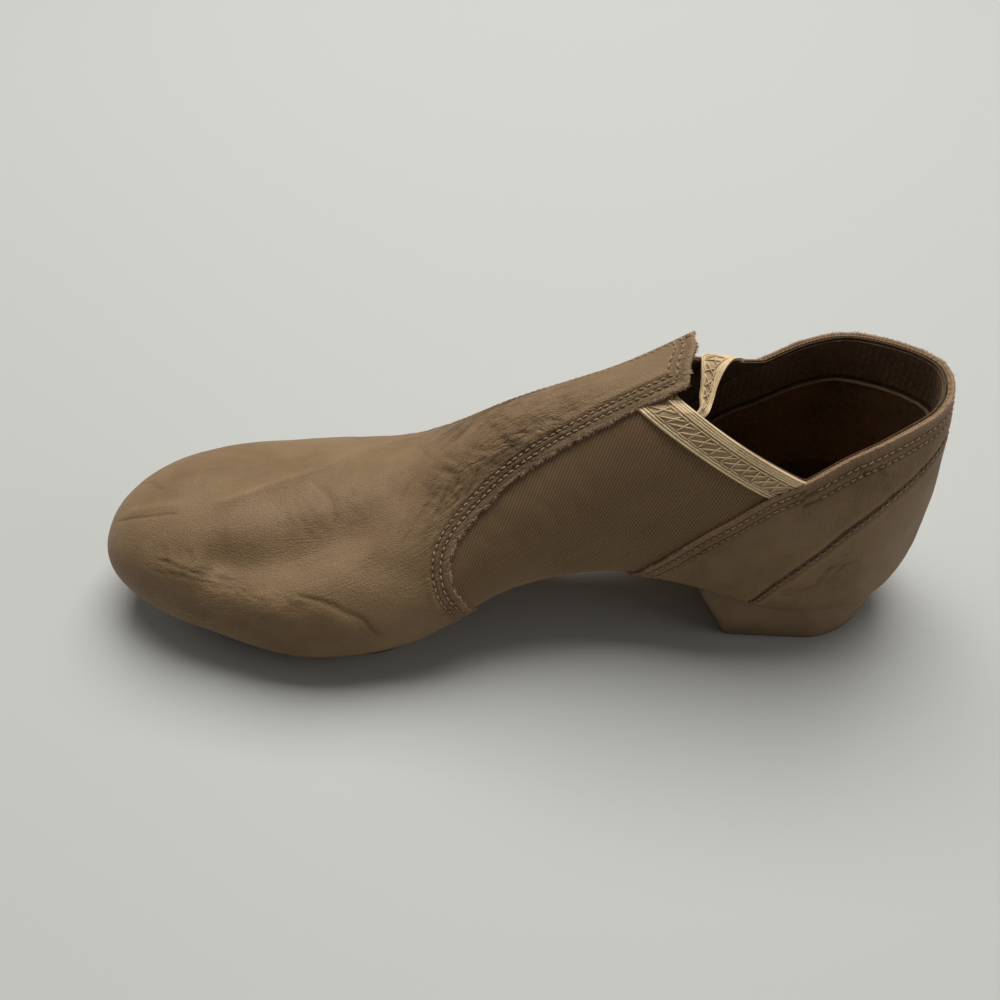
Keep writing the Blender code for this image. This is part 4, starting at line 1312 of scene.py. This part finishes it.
def stitch_row(path, pitch, length, radius, draw, tilt=0.10, sink=0.45):
    """Separate stitches along a path on the leather: arched threads that dip at both ends."""
    run = np.concatenate([[0], np.cumsum(np.linalg.norm(np.diff(path, axis=0), axis=1))])
    normals = outward(path)
    bodies = []
    count = int(run[-1] / pitch)
    for k in range(count):
        middle = (k + 0.5) * pitch + draw.uniform(-0.08, 0.08) * pitch
        half = 0.5 * length * draw.uniform(0.9, 1.08)
        at = np.clip(middle + half * np.linspace(-1, 1, 7), 0, run[-1])
        thread = np.stack([np.interp(at, run, path[:, axis]) for axis in range(3)], -1)
        up = np.stack([np.interp(at, run, normals[:, axis]) for axis in range(3)], -1)
        along_row = thread[-1] - thread[0]
        sideways = np.cross(along_row, up[3])
        sideways /= max(np.linalg.norm(sideways), 1e-9)
        arch = 1 - np.linspace(-1, 1, 7) ** 4
        lean = draw.gauss(0, tilt)
        thread = thread + up * (radius * (1.5 * arch - sink - 0.9 * (1 - arch)))[:, None]
        thread = thread + sideways * (lean * half * np.linspace(-1, 1, 7))[:, None]
        bodies.append(tube(thread, radius * draw.uniform(0.92, 1.08), 6))
    return bodies


def lay_on(tree, path, normals, reach=4 * MM):
    """Drops a path along the form's normals on to the real surface of a piece."""
    laid = []
    for point, normal in zip(path, normals):
        start = Vector(point + normal * reach)
        place, _, _, _ = tree.ray_cast(start, Vector(-normal), 2 * reach)
        laid.append(np.array(place) if place is not None else point)
    return np.array(laid)


def surface_of(piece):
    mesh = piece.data
    points = [vertex.co.copy() for vertex in mesh.vertices]
    return BVHTree.FromPolygons(points, [tuple(p.vertices) for p in mesh.polygons])


def offset_line(path, distance, towards):
    """Line on the form at a distance from a path, on the side of a direction field."""
    normals = outward(path)
    tangent = np.gradient(path, axis=0)
    tangent /= np.linalg.norm(tangent, axis=1, keepdims=True)
    side = np.cross(normals, tangent)
    sign = np.sign(np.sum(side * towards, axis=1, keepdims=True))
    side = side * np.where(sign == 0, 1, sign)
    moved = path + side * distance
    for _ in range(3):
        ahead = outward(moved)
        moved = moved - ahead * (signed_gap(moved, ahead))[:, None]
    return moved


def signed_gap(points, normals):
    """Distance of points from the form's skin along the normals."""
    low = np.full(len(points), -4 * MM)
    high = np.full(len(points), 4 * MM)
    for _ in range(24):
        middle = 0.5 * (low + high)
        outside = fullness(points - normals * middle[:, None]) > 0
        low = np.where(outside, middle, low)
        high = np.where(outside, high, middle)
    return 0.5 * (low + high)


def hairs(path, inward, per_length, draw, lengths, radius, spread=0.6, lift=0.4):
    """Short bent fibres standing off a raw edge."""
    normals = outward(path)
    run = np.concatenate([[0], np.cumsum(np.linalg.norm(np.diff(path, axis=0), axis=1))])
    bodies = []
    tufts = [draw.uniform(0, run[-1]) for _ in range(int(run[-1] / (1.5 * MM)))]
    for _ in range(int(run[-1] * per_length)):
        at = min(max(draw.choice(tufts) + draw.gauss(0, 0.45 * MM), 0), run[-1])
        root = np.array([np.interp(at, run, path[:, axis]) for axis in range(3)])
        k = min(int(np.searchsorted(run, at)), len(path) - 1)
        out, up = -inward[k], normals[k]
        side = np.cross(out, up)
        length = draw.uniform(*lengths)
        heading = out * draw.uniform(0.3, 1.0) + side * draw.gauss(0, spread) + up * draw.gauss(0.1, lift)
        heading /= np.linalg.norm(heading)
        bend = side * draw.gauss(0, 0.5) + up * draw.gauss(-0.1, 0.4)
        t = np.linspace(0, 1, 4)[:, None]
        start = root - up * LEATHER * draw.uniform(0.0, 0.8) - out * 0.1 * MM
        line = start + (heading * t + bend * t * t * 0.6) * length
        bodies.append(tube(line, radius * draw.uniform(0.7, 1.3), 3, True))
    return bodies


# Heel block's outline at rising heights: shares of its breast and back, half width
Ring = namedtuple("Ring", "height breast back half")
BLOCK = (
    Ring(0.0, 0.246, 0.040, 0.50 * BLOCK_WIDTH),
    Ring(0.6 * HEEL_HEIGHT, 0.254, 0.035, 0.50 * BLOCK_WIDTH + 0.7 * BLOCK_FLARE),
    Ring(1.1 * HEEL_HEIGHT, 0.263, 0.033, 0.50 * BLOCK_WIDTH + BLOCK_FLARE),
    Ring(1.0 * ARCH_HEIGHT, 0.287, 0.060, 0.46 * BLOCK_WIDTH),
    Ring(1.3 * ARCH_HEIGHT, 0.295, 0.080, 0.42 * BLOCK_WIDTH),
)
BLOCK_COLUMNS = 220
SIDE_BULGE = 0.075        # how far the block's sides swell, as a share of its half width


def block_line(height, inset):
    """Evenly spaced D-shaped outline of the block at one height, drawn in by the inset."""
    heights = [ring.height for ring in BLOCK]
    size = {name: np.interp(height, heights, [getattr(ring, name) for ring in BLOCK])
            for name in ("breast", "back", "half")}
    middle = curve(SECTIONS, "middle", 0.12)
    half = size["half"] - inset
    back = along(size["back"]) - inset
    breast = along(size["breast"]) + inset
    corner = max(2.4 * MM - 0.5 * inset, 0.3 * MM)
    points = [(back - half + half * math.cos(turn), half * math.sin(turn))
              for turn in np.radians(np.linspace(0, 90, 40))]
    points += [(breast + corner - corner * math.sin(turn), half - corner + corner * math.cos(turn))
               for turn in np.radians(np.linspace(0, 90, 12))]
    points += [(x, -y) for x, y in points[::-1]]

    def swell(x):
        return 1 + SIDE_BULGE * math.sin(math.pi * min(max((x - breast) / (back - breast), 0), 1))

    ring = np.array([(x, middle + y * swell(x), 0.0) for x, y in points])
    return resample(ring, 0.2 * MM)[:, :2]


def even_ring(height, inset):
    ring = block_line(height, inset)
    at = np.linspace(0, len(ring) - 1, BLOCK_COLUMNS)
    return np.stack([np.interp(at, np.arange(len(ring)), ring[:, k]) for k in range(2)], -1)


def underside_height(spots):
    """Height of the leather's underside over places on the floor."""
    share = 0.5 - spots[:, 0] / LENGTH
    size = section_at(share)
    low = np.zeros(len(spots))
    high = size["level"].copy()
    for _ in range(26):
        middle = 0.5 * (low + high)
        inside = fullness(np.column_stack([spots, middle])) < 0
        low = np.where(inside, low, middle)
        high = np.where(inside, middle, high)
    return low


def make_heel_block():
    """Low rubber heel with softened edges, its top fitted to the leather."""
    rows = []
    lip = np.minimum(underside_height(even_ring(1.1 * HEEL_HEIGHT, 0.0)), 1.15 * ARCH_HEIGHT)
    for height, inset in ((0.0, 12 * MM), (0.0, 1.0 * MM), (0.0, 0.45 * MM)):
        rows.append(np.column_stack([even_ring(height, inset), np.full(BLOCK_COLUMNS, height)]))
    rows.append(np.column_stack([even_ring(0.2 * MM, 0.12 * MM), np.full(BLOCK_COLUMNS, 0.15 * MM)]))
    for part in np.linspace(0.05, 0.93, 16):
        spots = np.empty((BLOCK_COLUMNS, 2))
        heights = part * lip
        for k, height in enumerate(heights):
            spots[k] = RING_TABLE[int(round(height / RING_STEP))][k]
        rows.append(np.column_stack([spots, heights]))
    edge = rows[-1]
    centre = np.array([along(0.14), curve(SECTIONS, "middle", 0.12)])
    inwards = centre - edge[:, :2]
    inwards /= np.linalg.norm(inwards, axis=1, keepdims=True)
    for inset, rise in ((0.15, 0.965), (0.5, 0.985)):
        rows.append(np.column_stack([edge[:, :2] + inwards * inset * MM, lip * rise]))
    for inset in (1.2, 3.0, 6.0, 12.0):
        spots = edge[:, :2] + inwards * inset * MM
        rows.append(np.column_stack([spots, np.minimum(underside_height(spots), lip) + 0.05 * MM]))
    table = np.stack(rows)
    wear_and_fold_shade = plain_noise(table[4:20], 2.6 * MM, 21) * 0.10 * MM
    wear_and_fold_shade = wear_and_fold_shade + plain_noise(table[4:20], 9 * MM, 22) * 0.22 * MM
    table[4:20, :, :2] += -inwards[None] * wear_and_fold_shade[..., None]
    flat = table[0].mean(axis=0)
    top = table[-1].mean(axis=0)
    caps = [np.tile(point, (1, BLOCK_COLUMNS, 1)) for point in (flat, top)]
    table = np.concatenate([caps[0], table, caps[1]])
    closed = np.concatenate([table, table[:, :1]], axis=1)
    return lay_grid("heel_block_rubber", closed)


RING_STEP = 0.1 * MM
RING_TABLE = [even_ring(k * RING_STEP, 0.0) for k in range(int(1.3 * ARCH_HEIGHT / RING_STEP) + 2)]


def make_patch():
    """Forefoot outsole: thin rubber with a softened edge, fitted to the leather's underside."""
    t = 0.5 * (1 - np.cos(np.linspace(0, np.pi, 90)))
    share = 0.585 + (0.935 - 0.585) * t
    ends = rounded(t, 0.25, 2.4) * rounded(1 - t, 0.25, 2.4)
    middle = curve(SECTIONS, "middle", share)
    size = section_at(share)
    near = np.column_stack([along(share), middle - PATCH_SHARE * ends * size["near"], 0 * share])
    far = np.column_stack([along(share), middle + PATCH_SHARE * ends * size["far"], 0 * share])
    ring = resample(np.concatenate([near, far[::-1][1:]]), 0.7 * MM)[:-1, :2]
    spine = np.clip(ring[:, 0], along(0.90), along(0.62))
    centre = np.column_stack([spine, 0 * ring[:, 0] + middle.mean()])
    inwards = centre - ring
    inwards /= np.linalg.norm(inwards, axis=1, keepdims=True)
    rows = []
    for inset, low in ((9.0, 0), (4.0, 0), (1.4, 0), (0.45, 0), (0.12, 0.16), (0.0, 0.40),
                       (0.0, 0.75), (0.12, 0.92)):
        spots = ring + inwards * inset * MM
        floor = np.maximum(curve(UNDERSIDE, "height", 0.5 - spots[:, 0] / LENGTH) - BALL, 0.0)
        top = np.maximum(underside_height(spots), floor + PATCH)
        rows.append(np.column_stack([spots, floor + (top - floor) * low]))
    for inset in (0.5, 1.5, 4.0, 9.0):
        spots = ring + inwards * inset * MM
        rows.append(np.column_stack([spots, underside_height(spots) + 0.05 * MM]))
    table = np.stack(rows)
    table = np.concatenate([
        np.tile(table[0].mean(axis=0) * (1, 1, 0), (1, len(ring), 1)), table,
        np.tile(table[-1].mean(axis=0), (1, len(ring), 1)),
    ])
    closed = np.concatenate([table, table[:, :1]], axis=1)
    return lay_grid("forefoot_rubber", closed)


def make_insole():
    """Soft insole over the inside of the underside."""
    share = np.linspace(0.035, 0.955, 150)
    size = section_at(share)
    across = np.linspace(-1, 1, 50)
    wide = 0.80 * np.where(across[None, :] < 0, size["near"][:, None], size["far"][:, None])
    y = size["middle"][:, None] + wide * across[None, :]
    x = np.repeat(along(share)[:, None], len(across), axis=1)
    low = curve(UNDERSIDE, "height", share)[:, None] + INSIDE + 0.9 * MM
    z = low + 1.7 * MM * (1 - 0.55 * across[None, :] ** 6) + 2.2 * MM * across[None, :] ** 4
    outer = np.stack([x, y, z], -1)
    outer[..., 2] += 0.25 * MM * plain_noise(outer, 9 * MM, 31)
    normals = np.zeros_like(outer)
    normals[..., 2] = 1.0
    return lay_grid("insole_pad", shell_rows(outer, normals, 1.2 * MM, 2, 20, 0.1 * MM))


def inside_band(name, high_line, drop_low, drop_high, depth, thickness, places, seed, rough):
    """Band on the lining's inside, between two drops under a side-view line."""
    origins, directions = fan_ribs(0.33, 90, 90)
    high = rib_angle(origins, directions, high_line, -drop_high)
    low = rib_angle(origins, directions, high_line, -drop_low)
    sheet = rib_points(origins, directions, between(low, high, places))
    sheet = sheet.transpose(1, 0, 2)[::-1]
    normals = -outward(sheet)
    around = np.cumsum(np.linalg.norm(np.diff(sheet[0], axis=0, prepend=sheet[0][:1]), axis=1))[None, :]
    down = np.linalg.norm(sheet - sheet[0], axis=-1)
    course = down / (1.3 * MM)
    loops = np.sin(2 * np.pi * around / (2.0 * MM) + np.pi * np.floor(course)) * np.sin(np.pi * course)
    lift = rough * (loops + plain_noise(sheet, 1.1 * MM, seed))
    lift = lift + 0.12 * MM * plain_noise(sheet, 7 * MM, seed + 1)
    outer = sheet + normals * (depth + lift)[..., None]
    return lay_grid(name, shell_rows(outer, normals, thickness, 2, 12, 0.08 * MM))


def make_sock_outer():
    """Stretch upper between the leathers."""
    outer = rib_sheet(0.585, 150, 60, None, sock_line, 98, slack_line)
    outer = outer.transpose(1, 0, 2)[::-1]
    normals = outward(outer)
    maps = np.stack([outer[..., 0], outer[..., 2]], -1)
    lift = 0.16 * MM * plain_noise(outer, 14 * MM, 12)
    for path, reach, depth in wrinkle_paths(SOCK_WRINKLES, 14):
        lift += crease_lift(outer, path, reach, depth)
    outer = outer - normals * (SOCK - 0.35 * MM - lift)[..., None]
    rows = shell_rows(outer, normals, 0.7 * MM, 1, 30, 0.12 * MM)
    extra = np.zeros((len(rows), maps.shape[1], 2))
    extra[:len(maps)] = maps[::-1]
    extra[len(maps):] = maps[0]
    return lay_grid("stretch_upper", rows, extra)


def make_sock_inner():
    """Brown lining inside the stretch upper."""
    outer = rib_sheet(0.60, 86, 60, None, sock_line, 70, slack_line)
    outer = outer.transpose(1, 0, 2)[::-1]
    normals = -outward(outer)
    lift = 0.20 * MM * plain_noise(outer, 9 * MM, 13)
    outer = outer + normals * (INSIDE + lift)[..., None]
    return lay_grid("sock_lining", shell_rows(outer, normals, 0.5 * MM, 1, 30, 0.15 * MM))


SOCK_WRINKLES = (
    Wrinkles(0.47, 62, 0.06, 20, -0.02, 12, 14, -0.20 * MM, 1.4 * MM),
    Wrinkles(0.40, 80, 0.05, 20, 0.03, 8, 12, -0.22 * MM, 1.6 * MM),
)

VAMP = make_vamp()
QUARTER = leather_band(
    "quarter_leather", QUARTER_TIP, 118, lambda s: counter_line(s) + 0.5 * GAP, top_line, 110,
    quarter_relief, 1.3 * MM)
COUNTER = leather_band(
    "counter_leather", SEAM_FOOT, 60, None, lambda s: counter_line(s) - 0.5 * GAP, 90,
    counter_relief, 0.2 * MM, -84.0)
SOCK_OUTER = make_sock_outer()
SOCK_INNER = make_sock_inner()
ELASTIC_NEAR = make_elastic("elastic_near_webbing", near_strip)
ELASTIC_FAR = make_elastic("elastic_far_webbing", far_strip)
BLOCK_PIECE = make_heel_block()
PATCH_PIECE = make_patch()
INSOLE_PIECE = make_insole()
KNIT = inside_band("collar_knit_tape", top_line, 13 * MM, 0.8 * MM, INSIDE + 0.35 * MM, 0.6 * MM,
                   72, 41, 0.14 * MM)

dress(VAMP, LEATHER_FACE, "tan_leather", "vamp")
dress(QUARTER, LEATHER_FACE, "tan_leather", "quarter")
dress(COUNTER, LEATHER_FACE, "tan_leather", "heel_counter")
dress(SOCK_OUTER, STRETCH, "stretch_fabric", "upper")
dress(SOCK_INNER, LINING_FACE, "brown_lining")
dress(ELASTIC_NEAR, ELASTIC, "elastic_webbing", "elastic_near")
dress(ELASTIC_FAR, ELASTIC, "elastic_webbing", "elastic_far")
dress(BLOCK_PIECE, RUBBER, "tan_rubber", "heel_block")
dress(PATCH_PIECE, RUBBER, "tan_rubber", "forefoot_outsole")
dress(INSOLE_PIECE, LINING_FACE, "brown_lining", "insole")
dress(KNIT, KNIT_FACE, "brown_lining")


def edge_points(table, spacing=0.3 * MM):
    return resample(skin(table[:, 0], table[:, 1]), spacing)


def rows_along(piece, path, rows, pitch, length, radius, draw, towards):
    """Rows of stitches beside a path, laid on the finished piece."""
    tree = surface_of(piece)
    bodies = []
    for row in rows:
        line = offset_line(path, row, towards)
        laid = lay_on(tree, line, outward(line))
        bodies += stitch_row(laid, pitch, length, radius, draw)
    return bodies


def inward_of(path, towards):
    """Unit directions along the skin, square to a path, towards the leather."""
    return unit(offset_line(path, 0.5 * MM, towards) - path)


def unit(vectors):
    return vectors / np.maximum(np.linalg.norm(vectors, axis=-1, keepdims=True), 1e-9)


def add_stitches():
    draw = random.Random(3)
    near, throat, far = vamp_edge_path()
    near, throat, far = edge_points(near), edge_points(throat), edge_points(far)
    forward = np.array([-1.0, 0.0, 0.0])
    bodies = []
    for side in (near, far):
        aim = side * (0, -1, 0) * 1.2 + forward * 0.02
        bodies += rows_along(VAMP, side[6:-6], VAMP_ROWS, 2.0 * MM, 1.45 * MM, 0.24 * MM, draw, aim[6:-6])
    bodies += rows_along(VAMP, throat[8:-8], (3.2 * MM, 5.4 * MM), 2.3 * MM, 1.8 * MM, 0.26 * MM, draw,
                         np.tile(forward, (len(throat) - 16, 1)))
    yield "vamp_stitches", bodies
    top = line_path(top_line, QUARTER_TIP, 0.3 * MM)
    share = 0.5 - top[:, 0] / LENGTH
    corner = share > CORNER_SHARE
    near_front = top[corner & (top[:, 1] < 0)]
    far_front = top[corner & (top[:, 1] > 0)]
    rim = top[~corner]
    down = np.array([0.0, 0.0, -1.0])
    bodies = []
    for front in (near_front, far_front):
        aim = np.tile(down + (0.6, 0, 0), (len(front), 1))
        bodies += rows_along(QUARTER, front[4:-4], FRONT_ROWS, 2.0 * MM, 1.5 * MM, 0.25 * MM,
                             draw, aim[4:-4])
    bodies += rows_along(QUARTER, rim[4:-4], RIM_ROWS, 2.0 * MM, 1.55 * MM, 0.25 * MM, draw,
                         np.tile(down, (len(rim) - 8, 1)))
    yield "quarter_stitches", bodies
    seam = line_path(counter_line, SEAM_FOOT, 0.3 * MM)
    bodies = rows_along(COUNTER, seam[3:-3], (0.8 * MM,), 2.1 * MM, 1.5 * MM, 0.27 * MM, draw,
                        np.tile(down, (len(seam) - 6, 1)))
    yield "counter_stitches", bodies


def add_fibres():
    draw = random.Random(8)
    near, throat, far = vamp_edge_path()
    whole = edge_points(np.concatenate([near[:-1], throat, far[1:]]), 0.3 * MM)
    back = unit(np.column_stack([-np.ones(len(whole)), whole[:, 1] * 14, 0 * whole[:, 0]]))
    inward = inward_of(whole, -back)
    inward = np.where(np.sum(inward * (-1, 0, 0), axis=1, keepdims=True) < -0.2, -inward, inward)
    fine = whole[:, 1] > 9 * MM
    strong = hairs(whole[~fine], inward[~fine], 12 / MM, draw, (0.4 * MM, 1.2 * MM), 0.08 * MM)
    weak = hairs(whole[fine], inward[fine], 7 / MM, draw, (0.3 * MM, 0.7 * MM), 0.06 * MM)
    yield "vamp_fibres", strong + weak
    top = line_path(top_line, QUARTER_TIP, 0.3 * MM)
    inward = inward_of(top, np.tile((0.3, 0.0, -1.0), (len(top), 1)))
    yield "quarter_fibres", hairs(top, inward, 12 / MM, draw, (0.3 * MM, 1.0 * MM), 0.075 * MM)


for label, bodies in add_stitches():
    dress(join_parts(label, bodies), THREAD, "tan_leather")
for label, bodies in add_fibres():
    dress(join_parts(label, bodies), FIBRE, "tan_leather")
dress(zigzag(near_strip, "elastic_near_thread", 13, random.Random(5)), ELASTIC_THREAD, "elastic_webbing")
dress(zigzag(far_strip, "elastic_far_thread", 11, random.Random(6)), ELASTIC_THREAD, "elastic_webbing")
SUEDE = inside_band("heel_suede_lining", top_line, 46 * MM, 14.5 * MM, INSIDE + 0.35 * MM, 0.7 * MM,
                    64, 40, 0.05 * MM)
dress(SUEDE, SUEDE_FACE, "brown_lining")
LINING_EDGE = line_path(lambda share: top_line(share) - 14.5 * MM, 0.30, 0.8 * MM)
LINING_EDGE = LINING_EDGE - outward(LINING_EDGE) * (INSIDE + 1.2 * MM)
LINING_EDGE[:, 2] += 0.25 * MM * plain_noise(LINING_EDGE, 3 * MM, 61)
dress(join_parts("heel_lining_edge", [tube(LINING_EDGE, 0.5 * MM, 8)]), LINING_ROLL, "brown_lining")


def add_stage():
    bpy.ops.mesh.primitive_plane_add(size=6)
    floor = bpy.context.object
    floor.name = "pale_floor"
    material, _, shader = new_material("pale_floor", 0.55, 0.0, (1, 1, 1), 0.3)
    shader.inputs["Base Color"].default_value = (0.535, 0.535, 0.510, 1)
    floor.data.materials.append(material)
    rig.stage(floor)


def add_light(name, place, target, energy, size, colour):
    light = bpy.data.lights.new(name, "AREA")
    light.energy = energy
    light.size = size
    light.color = colour
    item = bpy.data.objects.new(name, light)
    item.location = place
    aim = Vector(target) - Vector(place)
    item.rotation_euler = aim.to_track_quat("-Z", "Y").to_euler()
    bpy.context.scene.collection.objects.link(item)


def add_camera():
    yaw, pitch, roll = math.radians(1.51), math.radians(43.91), math.radians(0.62)
    ahead = Vector((math.sin(yaw) * math.cos(pitch), math.cos(yaw) * math.cos(pitch), -math.sin(pitch)))
    right = Vector((math.cos(yaw), -math.sin(yaw), 0))
    up = right.cross(ahead)
    turned = right * math.cos(roll) + up * math.sin(roll)
    over = -right * math.sin(roll) + up * math.cos(roll)
    camera = bpy.data.cameras.new("photo_camera")
    camera.sensor_width = 36
    camera.lens = 36
    camera.clip_start = 0.01
    item = bpy.data.objects.new("photo_camera", camera)
    item.matrix_world = Matrix((
        (turned.x, over.x, -ahead.x, -0.0096),
        (turned.y, over.y, -ahead.y, -0.2106),
        (turned.z, over.z, -ahead.z, 0.2333),
        (0, 0, 0, 1),
    ))
    bpy.context.scene.collection.objects.link(item)
    bpy.context.scene.camera = item


add_stage()
add_light("window", (0.09, 0.78, 1.50), (0, 0.0, 0), 36, 1.45, (1.0, 1.0, 0.985))
add_light("left_fill", (-0.9, 0.25, 0.50), (0, 0, 0.02), 0.9, 0.6, (1.0, 1.0, 0.98))
add_light("right_fill", (0.85, -0.25, 0.40), (0, 0, 0.03), 1.1, 0.6, (1.0, 1.0, 0.98))
world = bpy.data.worlds.new("soft_room")
world.use_nodes = True
world.node_tree.nodes["Background"].inputs["Color"].default_value = (0.97, 0.98, 1.0, 1)
world.node_tree.nodes["Background"].inputs["Strength"].default_value = 0.09
bpy.context.scene.world = world
bpy.context.scene.view_settings.view_transform = "Standard"
add_camera()

with open("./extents.json", "w") as out:
    json.dump({"cad": CAD_BOX, "visual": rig.bounds()}, out, default=lambda v: [float(x) for x in v])
